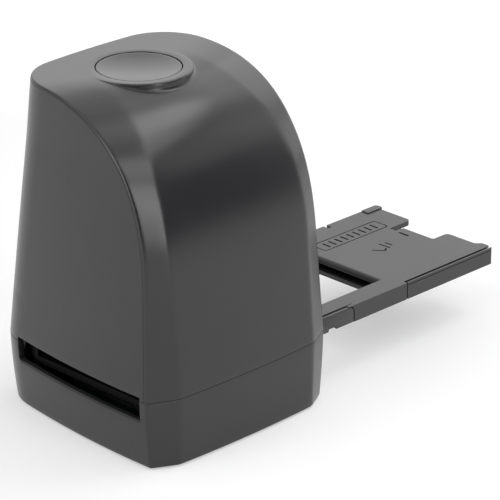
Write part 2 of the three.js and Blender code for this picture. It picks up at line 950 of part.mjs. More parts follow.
const lightBox = squareBlock(lightBoxOuter, [ledBoardTop + seat, lightBoxTop]).subtract(
  gateCut(lightBoxInner),
);
addPiece(fixed, "backlight_board", squareBlock(lightBoxOuter, [ledBoardBottom, ledBoardTop]),
  finishes.board);
addPiece(fixed, "light_box", lightBox, finishes.white);
addPiece(
  fixed,
  "diffuser",
  squareBlock(gateHalf - seat, [diffuserBottom, diffuserTop]),
  finishes.white,
);
const ledPlaces = [
  [-1, -1],
  [1, -1],
  [-1, 1],
  [1, 1],
];
ledPlaces.forEach(([i, j], n) => {
  const x = (i * ledPitch) / 2;
  const y = (j * ledPitch) / 2;
  const half = ledSize / 2;
  const zs = [ledBoardTop + seat / 2, ledBoardTop + ledThickness];
  const body = block([x - half, x + half], [y - half, y + half], zs);
  addPiece(fixed, "backlight_led_" + (n + 1), body, finishes.led);
});

// Camera tower above the gate

const switchBoardBottom = switchBoardTop - boardThickness;
const towerBottom = coverTop + seat;
const sensorBoardTop = switchBoardBottom - sensorRoom;
const sensorBoardBottom = sensorBoardTop - boardThickness;
const towerTop = sensorBoardBottom - seat;
const sensorBottom = sensorBoardBottom - sensorThickness - seat;
const barrelTop = sensorBottom - running;
const barrelBottom = barrelTop - barrelLength;
const towerDeck = barrelBottom + barrelLength / 2;

function towerRing(half, z) {
  return [
    [-half, -half, z],
    [half, -half, z],
    [half, half, z],
    [-half, half, z],
  ];
}

function cameraTower() {
  const topHalf = towerTopSize / 2;
  const wide = gateHalf + towerWall;
  const outside = loft([
    towerRing(wide, towerBottom),
    towerRing(topHalf, towerDeck),
    towerRing(topHalf, towerTop),
  ]);
  const tunnel = loft([
    towerRing(gateHalf, towerBottom - overrun),
    towerRing(gateHalf, towerBottom),
    towerRing(topHalf - towerWall, towerDeck - towerWall * 2),
  ]);
  const flangeTop = towerBottom + towerWall;
  const flange = block(
    [-wide - towerFlange, wide + towerFlange],
    [-wide, wide],
    [towerBottom, flangeTop],
  );
  const holes = mirroredPair({ x: towerScrewX, y: 0 }).map((p) =>
    post(p.x, p.y, [0, bodyHeight], smallScrewRadius + screwFit, smallSides),
  );
  return cutBy(outside.add(flange), [
    tunnel,
    post(0, 0, [0, bodyHeight], barrelRadius + running),
    ...holes,
  ]);
}

function lensBarrel() {
  const mouth = lensRadius + seat;
  const step = lensRadius - barrelShelf;
  const shelf = barrelBottom + lensThickness + running;
  return turned(
    [
      [step, shelf],
      [mouth, shelf],
      [mouth, barrelBottom],
      [barrelRadius, barrelBottom],
      [barrelRadius, barrelTop],
      [step, barrelTop],
      [step, shelf],
    ],
    0,
    0,
    lensSides,
  );
}

function lensSolid() {
  const low = barrelBottom + seat;
  const high = low + lensThickness;
  return turned(
    [
      [0, low],
      [lensRadius / 2, low + lensBulge / 4],
      [lensRadius, low + lensBulge],
      [lensRadius, high - lensBulge],
      [lensRadius / 2, high - lensBulge / 4],
      [0, high],
    ],
    0,
    0,
    lensSides,
  );
}

const boardHalf = sensorBoardSize / 2;
addPiece(fixed, "camera_tower", cameraTower(), finishes.inner);
addPiece(fixed, "lens_barrel", lensBarrel(), finishes.chip);
addPiece(fixed, "scan_lens", lensSolid(), finishes.glass);
addPiece(
  fixed,
  "sensor_board",
  squareBlock(boardHalf, [sensorBoardBottom, sensorBoardTop]),
  finishes.board,
);
addPiece(
  fixed,
  "image_sensor",
  squareBlock(sensorSize / 2, [sensorBottom, sensorBoardBottom - seat / 2]),
  finishes.chip,
);
for (const p of mirroredPair({ x: towerScrewX, y: 0 })) {
  const flangeTop = towerBottom + towerWall;
  const screw = screwSolid(
    p,
    flangeTop + seat,
    coverBottom + seat,
    smallScrewRadius,
    smallScrewHeadRadius,
    smallScrewHeadHeight,
    true,
  );
  addPiece(fixed, "tower_screw_" + p.side, screw, finishes.steel);
}

// Main board, processor and cable socket

function mainBoard() {
  const half = mainBoardWidth / 2;
  const zs = [mainBoardBottom, mainBoardTop];
  const board = block([-half, half], [mainBoardFront, mainBoardBack], zs);
  const holes = mainPostPlaces.map((p) =>
    postAlongY(p.x, [0, backDepth], p.y, smallScrewRadius + screwFit, smallSides),
  );
  return cutBy(board, holes);
}

function cableSocket() {
  const mouthY = backInnerAt(socketZ) - socketSetback;
  const halfW = socketWidth / 2;
  const halfH = socketHeight / 2;
  const shell = block(
    [-halfW, halfW],
    [mainBoardBack + seat, mouthY],
    [socketZ - halfH, socketZ + halfH],
  );
  const inside = block(
    [-halfW + socketWall, halfW - socketWall],
    [mainBoardBack + socketWall * 2, mouthY + overrun],
    [socketZ - halfH + socketWall, socketZ + halfH - socketWall],
  );
  const tongue = block(
    [-halfW / 2, halfW / 2],
    [mainBoardBack + socketWall, mouthY - socketWall],
    [socketZ - socketWall / 2, socketZ + socketWall / 2],
  );
  return shell.subtract(inside).add(tongue);
}

addPiece(fixed, "main_board", mainBoard(), finishes.board);
addPiece(fixed, "cable_socket", cableSocket(), finishes.steel);
const chipHalf = processorSize / 2;
const chipMiddle = between(mainBoardBottom, mainBoardTop, processorPlaceShare);
addPiece(
  fixed,
  "image_processor",
  block(
    [-chipHalf, chipHalf],
    [mainBoardFront - processorThickness, mainBoardFront - seat / 2],
    [chipMiddle - chipHalf, chipMiddle + chipHalf],
  ),
  finishes.chip,
);

// Switch under the button

addPiece(
  fixed,
  "switch_board",
  cutBy(
    block(
      [-switchBoardLength / 2, switchBoardLength / 2],
      [buttonBack - switchBoardWidth / 2, buttonBack + switchBoardWidth / 2],
      [switchBoardBottom, switchBoardTop],
    ),
    switchPostPlaces.map((p) =>
      post(p.x, p.y, [0, bodyHeight], smallScrewRadius + screwFit, smallSides),
    ),
  ),
  finishes.board,
);
for (const p of switchPostPlaces) {
  const screw = screwSolid(
    p,
    switchBoardBottom - seat,
    switchScrewTop - seat,
    smallScrewRadius,
    smallScrewHeadRadius,
    smallScrewHeadHeight,
    false,
  );
  addPiece(fixed, "switch_screw_" + p.side, screw, finishes.steel);
}

const switchTop = switchBoardTop + switchHeight;
const plungerTop = switchTop + plungerRise + buttonTravel;
const plungerBottom = switchTop - buttonTravel;
const switchHalf = switchSize / 2;
const switchBody = block(
  [-switchHalf, switchHalf],
  [buttonBack - switchHalf, buttonBack + switchHalf],
  [switchBoardTop + seat / 2, switchTop],
).subtract(
  post(
    0,
    buttonBack,
    [plungerBottom - buttonTravel - running, bodyHeight],
    plungerRadius + screwFit,
  ),
);
addPiece(fixed, "switch_body", switchBody, finishes.chip);

// The button's spring stands on the board and carries the cap
const capUnder = capTop - buttonDish - capThickness;

function buttonSpring() {
  const low = switchBoardTop + springWire / 2 + seat;
  const high = capUnder - springWire / 2 - seat;
  const points = [];
  const stepsPerTurn = 10;
  const steps = springTurns * stepsPerTurn;
  for (let i = 0; i <= steps; i++) {
    const turn = (i / stepsPerTurn) * Math.PI * 2;
    const x = springRadius * Math.cos(turn);
    const y = buttonBack + springRadius * Math.sin(turn);
    points.push(new THREE.Vector3(x, y, between(low, high, i / steps)));
  }
  const section = new THREE.Shape();
  section.absarc(0, 0, springWire / 2, 0, Math.PI * 2);
  const geometry = new THREE.ExtrudeGeometry(section, {
    extrudePath: new THREE.CatmullRomCurve3(points),
    steps,
    curveSegments: 3,
    bevelEnabled: false,
  });
  return solidOf(geometry);
}
addPiece(fixed, "button_spring", buttonSpring(), finishes.steel);

// Button cap: a dished disc on a skirt, held by a rim that catches under the collar
function buttonCap() {
  const inner = buttonRadius - skirtWall;
  const dishRadius = buttonRadius - buttonRim;
  const points = [
    [0, plungerTop + seat],
    [postRadius, plungerTop + seat],
    [postRadius, capUnder],
    [inner, capUnder],
    [inner, catchBottom],
    [buttonRadius + buttonGap + catchWidth, catchBottom],
    [buttonRadius + buttonGap + catchWidth, catchTop],
    [buttonRadius, catchTop],
    [buttonRadius, capTop - buttonEdge],
    [buttonRadius - buttonEdge / 2, capTop - buttonEdge / 4],
    [dishRadius, capTop],
  ];
  const dishShares = [0.8, 0.55, 0.3, 0];
  for (const share of dishShares) {
    points.push([dishRadius * share, capTop - buttonDish * (1 - share * share)]);
  }
  return turned(points, 0, buttonBack, buttonSides);
}
addPiece(moving, "button_cap", buttonCap(), finishes.button);
addPiece(
  moving,
  "switch_plunger",
  post(0, buttonBack, [plungerBottom, plungerTop], plungerRadius),
  finishes.chip,
);

// Slide tray: a frame below, a lid above and the slide's channel between them

const trayMiddle = trayOut;
const trayXs = [trayMiddle - trayHalfLength, trayMiddle + trayHalfLength];
const lugXs = [trayXs[0] + lugInset, trayXs[1] - lugInset];
const lidBottom = trayTop - lidThickness;
const frameTop = lidBottom - seat;
const channelBottom = trayBottom + trayFloor;
const skirtXs = [trayMiddle - skirtStart, trayMiddle + skirtEnd];
const latchXs = [skirtXs[0] - latchLength, skirtXs[0]];
const lipBack = -trayHalfWidth + lidLipWidth;

const throughZs = [trayBottom - overrun, trayTop + overrun];
const alongTray = [trayXs[0] - overrun, trayXs[1] + overrun];
const notchXs = [trayXs[0] + notchDepth, trayXs[1] - notchDepth];
const stripYs = [slideHalf, trayHalfWidth];
const stripXs = [trayXs[0] + hingeStripLength, trayXs[1] - hingeStripLength];
const stripEnd = trayXs[1] - hingeStripInset;
const stripTop = trayTop + hingeStripRise;
const pinY = (stripYs[0] + stripYs[1]) / 2;
const pinZ = (lidBottom + trayTop) / 2;
const pins = [
  { name: "lid_hinge_pin_left", xs: [lugXs[0], stripXs[0] + hingePinBite] },
  { name: "lid_hinge_pin_right", xs: [stripXs[1] - hingePinBite, lugXs[1]] },
];

// The window, and three notches in the back edge that the click spring finds
function trayCuts() {
  const windowXs = [trayMiddle - windowHalf, trayMiddle + windowHalf];
  const half = clickNotchWidth / 2;
  const ys = [trayHalfWidth - clickNotchDepth, trayHalfWidth + overrun];
  const zs = [trayBottom + clickNotchFloor, trayTop + overrun];
  const notches = [-clickNotchPlace, 0, clickNotchPlace].map((place) => {
    const x = trayMiddle + place;
    return block([x - half, x + half], ys, zs);
  });
  return [block(windowXs, [-windowHalf, windowHalf], throughZs), ...notches];
}

function pinCuts() {
  return pins.map((pin) =>
    rodAlongX([pin.xs[0] - seat, pin.xs[1] + seat], pinY, pinZ, hingePinRadius + seat, smallSides),
  );
}

// A plan given as [x, y, radius] down the right-hand end and repeated at the left-hand
// end, with its corners rounded
function bothEnds(rightEnd) {
  const leftEnd = rightEnd.map(([x, y, radius]) => [2 * trayMiddle - x, y, radius]).reverse();
  const corners = [...rightEnd, ...leftEnd];
  const count = corners.length;
  const shape = new THREE.Shape();
  corners.forEach(([x, y, radius = 0], i) => {
    const corner = new THREE.Vector2(x, y);
    const before = new THREE.Vector2(...corners[(i + count - 1) % count].slice(0, 2));
    const after = new THREE.Vector2(...corners[(i + 1) % count].slice(0, 2));
    const start = before.sub(corner).setLength(radius).add(corner);
    const end = after.sub(corner).setLength(radius).add(corner);
    if (i === 0) shape.moveTo(start.x, start.y);
    else shape.lineTo(start.x, start.y);
    if (radius > 0) shape.quadraticCurveTo(x, y, end.x, end.y);
  });
  shape.closePath();
  return shape;
}

function trayFrame() {
  const shape = bothEnds([
    [trayXs[1], -trayHalfWidth, trayCorner],
    [trayXs[1], -slideHalf, trayCorner],
    [lugXs[1], -slideHalf],
    [lugXs[1], -notchFront, lugCorner],
    [notchXs[1], -notchFront, trayCorner],
    [notchXs[1], notchBack, trayCorner],
    [lugXs[1], notchBack, lugCorner],
    [lugXs[1], stripYs[0]],
    [stripEnd, stripYs[0]],
    [stripEnd, trayHalfWidth, trayCorner],
  ]);
  const whole = plate(shape, [trayBottom, stripTop]);
  const recessBack = -trayHalfWidth + latchThickness + running;
  return cutBy(whole, [
    block(alongTray, [-trayHalfWidth - overrun, lipBack], [trayTop, trayTop + overrun]),
    block(alongTray, [-slideHalf, slideHalf], [channelBottom, trayTop + overrun]),
    block(alongTray, [lipBack, stripYs[0]], [frameTop, trayTop + overrun]),
    block(stripXs, [0, trayHalfWidth + overrun], [frameTop, trayTop + overrun]),
    block(
      [latchXs[0] - lidFrontGap, skirtXs[1] + lidFrontGap],
      [-trayHalfWidth - overrun, recessBack],
      throughZs,
    ),
    ...trayCuts(),
    ...pinCuts(),
  ]);
}

// A pocket at the notch and a slit beside it leave a springy finger in the lid
function fingerCuts() {
  return [-1, 1].flatMap((end) => {
    const across = (from, reach) => {
      const a = trayMiddle + end * (notchXs[1] - trayMiddle - from);
      const b = trayMiddle + end * (notchXs[1] - trayMiddle - from - reach);
      return [Math.min(a, b), Math.max(a, b)];
    };
    const pocketYs = [notchBack - pocketWidth, notchBack];
    const slitYs = [pocketYs[0] - slitPlace - slitLength, pocketYs[0] - slitPlace];
    return [
      block(across(-lugCorner, pocketLength + lugCorner), pocketYs, throughZs),
      block(across(pocketLength, slitWidth), slitYs, throughZs),
    ];
  });
}

function trayLid() {
  const front = lipBack + lidLipGap;
  const stripBack = stripYs[0] - seat;
  const shape = bothEnds([
    [lugXs[1] + tabReach, front, trayCorner],
    [lugXs[1] + tabReach, front + tabWidth, trayCorner],
    [lugXs[1], front + tabWidth + tabReach / 2, trayCorner],
    [lugXs[1], -notchFront, lugCorner],
    [notchXs[1], -notchFront, trayCorner],
    [notchXs[1], notchBack],
    [lugXs[1], notchBack, lugCorner],
    [lugXs[1], stripBack],
    [stripXs[1] - seat, stripBack],
    [stripXs[1] - seat, trayHalfWidth],
  ]);
  const middle = [latchXs[0], skirtXs[1]];
  const behindLatch = -trayHalfWidth + latchThickness + seat;
  const flap = block(skirtXs, [-trayHalfWidth, front + weld], [lidBottom, trayTop]);
  const skirt = block(
    skirtXs,
    [-trayHalfWidth, -trayHalfWidth + latchThickness],
    [trayBottom, lidBottom + weld],
  );
  const open = block(middle, [-trayHalfWidth - overrun, behindLatch], throughZs);
  const top = plate(shape, [lidBottom, trayTop]).subtract(open);
  return cutBy(joined([top, flap, skirt]), [...trayCuts(), ...fingerCuts(), ...pinCuts()]);
}

// Latch: a clip in the front wall with a nail notch under it
function trayLatch() {
  const top = trayTop - latchDrop;
  const xs = [latchXs[0] + seat, latchXs[1] - lidFrontGap];
  const shape = new THREE.Shape();
  const notchX = xs[1] - latchNotchPlace;
  shape.moveTo(xs[0], trayBottom);
  shape.lineTo(notchX - latchNotchWidth, trayBottom);
  shape.lineTo(notchX - latchNotchWidth, trayBottom + latchNotchHeight);
  shape.quadraticCurveTo(
    notchX - latchNotchWidth / 2,
    trayBottom + latchNotchBow,
    notchX,
    trayBottom + latchNotchHeight,
  );
  shape.lineTo(notchX, trayBottom);
  shape.lineTo(xs[1], trayBottom);
  shape.lineTo(xs[1], top - latchCorner);
  shape.quadraticCurveTo(xs[1], top, xs[1] - latchCorner, top);
  shape.lineTo(xs[0], top);
  shape.closePath();
  return frontPrism(shape, [-trayHalfWidth, -trayHalfWidth + latchThickness]);
}

addPiece(moving, "tray_frame", trayFrame(), finishes.tray);
addPiece(moving, "tray_lid", trayLid(), finishes.tray);
addPiece(moving, "tray_latch", trayLatch(), finishes.tray);
for (const pin of pins) {
  const rod = rodAlongX(pin.xs, pinY, pinZ, hingePinRadius, smallSides);
  addPiece(moving, pin.name, rod, finishes.steel);
}

export default scanner;
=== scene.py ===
# %% [markdown]
# # A film negative scanner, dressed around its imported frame
# The frame is the engineering model: 47 solids in metres, +X to the viewer's right along the
# slide tray, the curved front towards -Y, +Z up, with the origin on the table. This notebook
# adds what the eye reads: finely curved plastic shells, softened edges, moulded grain, studio
# light and the photograph's viewpoint.

# %% Load the frame
import json
import math

import bmesh
import bpy
import numpy as np
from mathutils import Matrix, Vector


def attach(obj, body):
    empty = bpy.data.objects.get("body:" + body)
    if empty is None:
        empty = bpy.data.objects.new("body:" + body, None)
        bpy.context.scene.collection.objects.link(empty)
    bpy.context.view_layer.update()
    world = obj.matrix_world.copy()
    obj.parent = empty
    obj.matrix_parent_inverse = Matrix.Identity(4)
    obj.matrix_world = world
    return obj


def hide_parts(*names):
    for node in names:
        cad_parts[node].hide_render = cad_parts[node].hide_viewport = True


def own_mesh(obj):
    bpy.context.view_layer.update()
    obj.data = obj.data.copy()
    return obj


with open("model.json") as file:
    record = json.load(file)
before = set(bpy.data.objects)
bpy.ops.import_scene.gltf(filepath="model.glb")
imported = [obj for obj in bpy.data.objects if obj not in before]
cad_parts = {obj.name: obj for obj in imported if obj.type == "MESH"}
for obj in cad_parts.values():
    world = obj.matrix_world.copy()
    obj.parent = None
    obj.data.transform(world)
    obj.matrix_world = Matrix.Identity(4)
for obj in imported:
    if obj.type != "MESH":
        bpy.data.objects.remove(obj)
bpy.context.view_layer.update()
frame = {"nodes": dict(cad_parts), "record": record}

MM = 0.001

# %% [markdown]
# ## Viewpoint
# The photo was taken with a long lens from the front left, a little above the object. The
# place, target and lens below were fitted to lines measured on the photo, so that the body's
# corners and the tray's edges land on the same pixels.

# %% Camera
CAMERA_PLACE = (-684.5, -724.2, 477.6)
CAMERA_TARGET = (18.87, -22.63, 57.44)
CAMERA_LENS = 230.3
SENSOR_WIDTH = 36.0

camera_data = bpy.data.cameras.new("photo_camera")
camera_data.lens = CAMERA_LENS
camera_data.sensor_width = SENSOR_WIDTH
camera_data.clip_start = 0.05
camera_data.clip_end = 20
camera = bpy.data.objects.new("photo_camera", camera_data)
bpy.context.scene.collection.objects.link(camera)
camera.location = Vector(CAMERA_PLACE) * MM
looking = (Vector(CAMERA_TARGET) - Vector(CAMERA_PLACE)) * MM
camera.rotation_euler = looking.to_track_quat("-Z", "Y").to_euler()
bpy.context.scene.camera = camera
print("camera at", [round(v, 3) for v in camera.location])

# %% [markdown]
# ## Building materials from nodes
# Every finish below is a small node tree. One function adds a node with its settings and its
# links, and another turns a colour as written on a paint card (sRGB) into the linear numbers
# that the shader works in.

# %% Material helpers
def rgb(text):
    channels = [int(text[i:i + 2], 16) / 255 for i in (1, 3, 5)]
    return (*[c / 12.92 if c <= 0.04045 else ((c + 0.055) / 1.055) ** 2.4 for c in channels], 1)


def node(tree, kind, settings=None, **sockets):
    made = tree.nodes.new(kind)
    for name, value in (settings or {}).items():
        setattr(made, name, value)
    for name, value in sockets.items():
        key = int(name[1:]) if name[0] == "i" and name[1:].isdigit() else name.replace("_", " ")
        if isinstance(value, bpy.types.NodeSocket):
            tree.links.new(value, made.inputs[key])
        else:
            made.inputs[key].default_value = value
    return made


def new_material(name):
    material = bpy.data.materials.new(name)
    material.use_nodes = True
    tree = material.node_tree
    tree.nodes.clear()
    return material, tree


def finish_material(tree, shader):
    out = tree.nodes.new("ShaderNodeOutputMaterial")
    tree.links.new(shader, out.inputs["Surface"])


print("mid grey in linear light: %.3f" % rgb("#808080")[0])

# %% [markdown]
# ## One recipe for the moulded plastics
# A moulded part copies the skin of its steel tool. A picture of that skin would do, but noise in
# the bump stays sharp at any distance, and its scale can be given in millimetres. Slow clouds
# vary the colour and the gloss a little, because no moulding cools evenly.

# %% Plastic recipe
PLASTIC_IOR, GLOSS_SWING = 1.5, 0.05


def grained_plastic(name, dark, light, roughness, grain_mm, grain_depth_mm):
    """Moulded plastic: a fine spark-eroded grain in the bump, slow clouds in colour and gloss."""
    material, tree = new_material(name)
    place = node(tree, "ShaderNodeTexCoord").outputs["Object"]
    clouds = node(tree, "ShaderNodeTexNoise", Vector=place, Scale=28.0, Detail=3.0)
    grain = node(tree, "ShaderNodeTexNoise", Vector=place, Scale=1 / (grain_mm * MM),
                 Detail=2.0, Roughness=0.6)
    speck = node(tree, "ShaderNodeMath", {"operation": "MULTIPLY_ADD"},
                 i0=grain.outputs["Fac"], i1=0.25, i2=clouds.outputs["Fac"])
    colour = node(tree, "ShaderNodeValToRGB", Fac=speck.outputs[0])
    colour.color_ramp.elements[0].position = 0.3
    colour.color_ramp.elements[0].color = rgb(dark)
    colour.color_ramp.elements[1].position = 0.95
    colour.color_ramp.elements[1].color = rgb(light)
    gloss = node(tree, "ShaderNodeMapRange", Value=clouds.outputs["Fac"],
                 To_Min=roughness - GLOSS_SWING, To_Max=roughness + GLOSS_SWING)
    bump = node(tree, "ShaderNodeBump", Height=grain.outputs["Fac"], Strength=0.35,
                Distance=grain_depth_mm * MM)
    shader = node(tree, "ShaderNodeBsdfPrincipled", Base_Color=colour.outputs["Color"],
                  Roughness=gloss.outputs["Result"], IOR=PLASTIC_IOR,
                  Normal=bump.outputs["Normal"])
    finish_material(tree, shader.outputs["BSDF"])
    return material


# %% [markdown]
# ## The plastics
# The body is charcoal ABS, moulded in a lightly blasted tool, which leaves a satin surface with
# soft broad highlights. The tray has a coarser, drier grain so that it slides well. The parts
# inside are plain black ABS. Grain as fine as the real one (about 0.1 mm) can't show at this
# distance, so it is drawn at a few tenths of a millimetre. Most of the grey in the photo is
# studio light on the gloss, so the colours themselves are darker than the body looks.

# %% Plastics
shell_abs = grained_plastic("satin_charcoal_abs", "#2a2a2c", "#2f2f31", 0.25, 0.45, 0.006)
button_abs = grained_plastic("satin_charcoal_abs_button", "#2b2b2d", "#303032", 0.25, 0.45, 0.006)
tray_abs = grained_plastic("matt_charcoal_abs_tray", "#363638", "#3b3b3d", 0.36, 0.40, 0.012)
inner_abs = grained_plastic("plain_black_abs", "#111112", "#161617", 0.55, 0.50, 0.020)
foot_rubber = grained_plastic("moulded_black_rubber", "#141414", "#1c1c1c", 0.75, 0.35, 0.03)
white_plastic = grained_plastic("white_diffusing_acrylic", "#e4e4df", "#f0f0ec", 0.45, 0.5, 0.01)
chip_resin = grained_plastic("black_moulded_resin", "#161617", "#1f1f20", 0.45, 0.3, 0.012)
led_resin = grained_plastic("pale_yellow_lamp_resin", "#e6d794", "#f3e8b4", 0.30, 0.5, 0.005)
print("plastics:", [m.name for m in (shell_abs, button_abs, tray_abs, inner_abs, foot_rubber)])


# %% [markdown]
# ## Metal, boards and glass
# Screws, spring and socket are bright steel with a fine turned streak. The boards are green
# solder mask over copper tracks, drawn as a grid of brick lines at a 1.6 mm pitch. The lens is
# plain clear glass.

# %% Metal, board and glass
def streaked_steel(name, colour_dark, colour_light, roughness):
    material, tree = new_material(name)
    place = node(tree, "ShaderNodeTexCoord").outputs["Object"]
    stretched = node(tree, "ShaderNodeMapping", Vector=place, Scale=(1.0, 1.0, 9.0))
    streak = node(tree, "ShaderNodeTexNoise", Vector=stretched.outputs["Vector"],
                  Scale=1 / (0.9 * MM), Detail=3.0)
    colour = node(tree, "ShaderNodeValToRGB", Fac=streak.outputs["Fac"])
    colour.color_ramp.elements[0].color = rgb(colour_dark)
    colour.color_ramp.elements[1].color = rgb(colour_light)
    gloss = node(tree, "ShaderNodeMapRange", Value=streak.outputs["Fac"],
                 To_Min=roughness - 0.06, To_Max=roughness + 0.08)
    bump = node(tree, "ShaderNodeBump", Height=streak.outputs["Fac"], Strength=0.2,
                Distance=0.01 * MM)
    shader = node(tree, "ShaderNodeBsdfPrincipled", Base_Color=colour.outputs["Color"],
                  Metallic=1.0, Roughness=gloss.outputs["Result"], Normal=bump.outputs["Normal"])
    finish_material(tree, shader.outputs["BSDF"])
    return material


def board_material():
    material, tree = new_material("green_solder_mask_board")
    place = node(tree, "ShaderNodeTexCoord").outputs["Object"]
    turned = node(tree, "ShaderNodeMapping", Vector=place, Rotation=(0.0, 0.0, math.radians(45)))
    tracks = node(tree, "ShaderNodeTexBrick", Vector=turned.outputs["Vector"],
                  Scale=1 / (1.6 * MM), Color1=rgb("#1c5233"), Color2=rgb("#1f5a38"),
                  Mortar=rgb("#2d7548"))
    tracks.inputs["Mortar Size"].default_value = 0.09
    bump = node(tree, "ShaderNodeBump", Height=tracks.outputs["Fac"], Strength=0.3,
                Distance=0.03 * MM)
    shader = node(tree, "ShaderNodeBsdfPrincipled", Base_Color=tracks.outputs["Color"],
                  Roughness=0.35, Normal=bump.outputs["Normal"])
    finish_material(tree, shader.outputs["BSDF"])
    return material


def lens_material():
    material, tree = new_material("clear_coated_lens_glass")
    place = node(tree, "ShaderNodeTexCoord").outputs["Object"]
    haze = node(tree, "ShaderNodeTexNoise", Vector=place, Scale=1 / (2.5 * MM))
    gloss = node(tree, "ShaderNodeMapRange", Value=haze.outputs["Fac"], To_Min=0.01, To_Max=0.05)
    shader = node(tree, "ShaderNodeBsdfPrincipled", Base_Color=rgb("#dfe9ee"),
                  Roughness=gloss.outputs["Result"], IOR=1.52, Transmission_Weight=1.0)
    finish_material(tree, shader.outputs["BSDF"])
    return material

# %% [markdown]
# ## Finishes of the frame's own solids
# Most pieces inside are shown as the engineering solids themselves. The record names a material
# slot for each of them, and each slot gets one finish, so a piece that is seen only through the
# tray's slot is finished like the rest.

# %% Slots and finishes
bright_steel = streaked_steel("bright_turned_steel", "#a9abae", "#c9cacc", 0.30)
solder_mask = board_material()
lens_glass = lens_material()
slot_material = {
    "shell": shell_abs, "button": button_abs, "tray": tray_abs, "inner": inner_abs,
    "rubber": foot_rubber, "steel": bright_steel, "board": solder_mask, "chip": chip_resin,
    "white": white_plastic, "led": led_resin, "glass": lens_glass,
}
node_slot = {s["node"]: s["material_slot"] for s in frame["record"]["subparts"]}
for name, obj in frame["nodes"].items():
    obj.data.materials.clear()
    obj.data.materials.append(slot_material[node_slot[name]])
print("finishes:", len(slot_material))

# %% [markdown]
# ## The body's outline as formulas
# The real housing is lofted: at each height its plan is a slightly bowed front, a flat chamfer
# at each front corner, a side that draws in towards the back, and a rounded back corner. The
# crown is a quarter of a superellipse, so that the front rolls into the roof with no kink. All
# of it is written as functions of the height, which gives any fineness of mesh.

# %% Outline formulas
FOOT = 0.5
HEIGHT, SEAM, CROWN = 119.0, 24.2, 60.0
SIDE_WIDEST = -22.6
BACK_DEPTH = 46.2
SIDE_DRAW_IN, BACK_BOW = 6.6, 0.6


def clamp01(v):
    return np.clip(v, 0.0, 1.0)


def outline(z):
    """The plan's controlling sizes at height z above the body's own underside."""
    z = np.asarray(z, float)
    above = clamp01((z - SEAM) / (HEIGHT - SEAM))
    below = clamp01(1 - z / SEAM) ** 1.6
    rise = clamp01((z - CROWN) / (HEIGHT - CROWN))
    back_share = 1 - (1 - rise ** 2.5) ** 0.4
    half = 38.5 + 3.72 * clamp01((100 - z) / (100 - SEAM)) ** 1.25 - 1.7 * below
    inner_y = -40.7 + 0.5 * below + 7.8 * above + 49.0 * back_share
    outer_y = -35.4 + 4.7 * above + 55.0 * back_share
    back_y = BACK_DEPTH - 1.2 * below - 10.4 * above + 3.2 * above * (1 - above)
    return {
        "half": half, "inner_x": 31.5 - 10.0 * rise ** 3, "inner_y": inner_y,
        "outer_y": outer_y, "back_y": back_y, "corner": 15.0 + 2.5 * above,
    }


def side_x(half, y):
    run = (y - SIDE_WIDEST) / (BACK_DEPTH - SIDE_WIDEST)
    return half - SIDE_DRAW_IN * run * run


CHAMFER_SOFT = 0.4
FRONT_BOW = 0.9
DOME_BOW, DOME_STEEP, DOME_START = 1.6, 3.2, 2.1


def front_y(x, z):
    """Where the front stands at x and height z: a bowed middle that meets each chamfer softly."""
    o = outline(z)
    outer_x = side_x(o["half"], o["outer_y"])
    inner_y = np.minimum(o["inner_y"], o["outer_y"] - 0.2)
    share = np.abs(x) / o["inner_x"]
    dome = clamp01((z - CROWN) / (HEIGHT - CROWN) * DOME_STEEP - DOME_START)
    level = 1 - np.minimum(share, 1.0) ** 2
    middle = inner_y - FRONT_BOW * level - DOME_BOW * dome * dome * (3 - 2 * dome) * level ** 2
    slope = (o["outer_y"] - inner_y) / (outer_x - o["inner_x"])
    chamfer = inner_y + (np.abs(x) - o["inner_x"]) * slope
    return (middle + chamfer + np.sqrt((middle - chamfer) ** 2 + CHAMFER_SOFT ** 2)) / 2


def crown_z(x, y):
    """Height of the crown and roof over a point of the plan, found by halving the interval."""
    x, y = np.broadcast_arrays(np.asarray(x, float), np.asarray(y, float))
    low, high = np.full(x.shape, CROWN), np.full(x.shape, HEIGHT)
    for _ in range(40):
        mid = (low + high) / 2
        behind = front_y(x, mid) < y
        low, high = np.where(behind, mid, low), np.where(behind, high, mid)
    return (low + high) / 2


print("crown over the button's front edge: %.1f mm" % float(crown_z(0, -7.4)))

# %% [markdown]
# ## From rows of points to a shell
# A shell is a grid of points with a wall behind it. Solidify gives the wall, and a narrow bevel
# on the sharp rims catches the light as the radius of a real moulding does.

# %% Mesh helpers
def mesh_object(name, verts_mm, faces, material, smooth=True):
    mesh = bpy.data.meshes.new(name)
    points = np.asarray(verts_mm, float).copy()
    points[:, 2] += FOOT
    mesh.from_pydata([tuple(p * MM) for p in points], [], [tuple(f) for f in faces])
    mesh.validate()
    mesh.polygons.foreach_set("use_smooth", [smooth] * len(mesh.polygons))
    obj = bpy.data.objects.new(name, mesh)
    bpy.context.scene.collection.objects.link(obj)
    mesh.materials.append(material)
    return obj


def merge_and_face_out(obj, distance=1e-6):
    bm = bmesh.new()
    bm.from_mesh(obj.data)
    bmesh.ops.remove_doubles(bm, verts=bm.verts, dist=distance)
    bmesh.ops.recalc_face_normals(bm, faces=bm.faces)
    bm.to_mesh(obj.data)
    bm.free()


def apply_modifiers(obj):
    graph = bpy.context.evaluated_depsgraph_get()
    mesh = bpy.data.meshes.new_from_object(obj.evaluated_get(graph))
    obj.modifiers.clear()
    old = obj.data
    obj.data = mesh
    bpy.data.meshes.remove(old)


def add_wall(obj, thickness_mm):
    wall = obj.modifiers.new("wall", "SOLIDIFY")
    wall.thickness = thickness_mm * MM
    wall.offset = -1
    wall.use_even_offset = True
    apply_modifiers(obj)


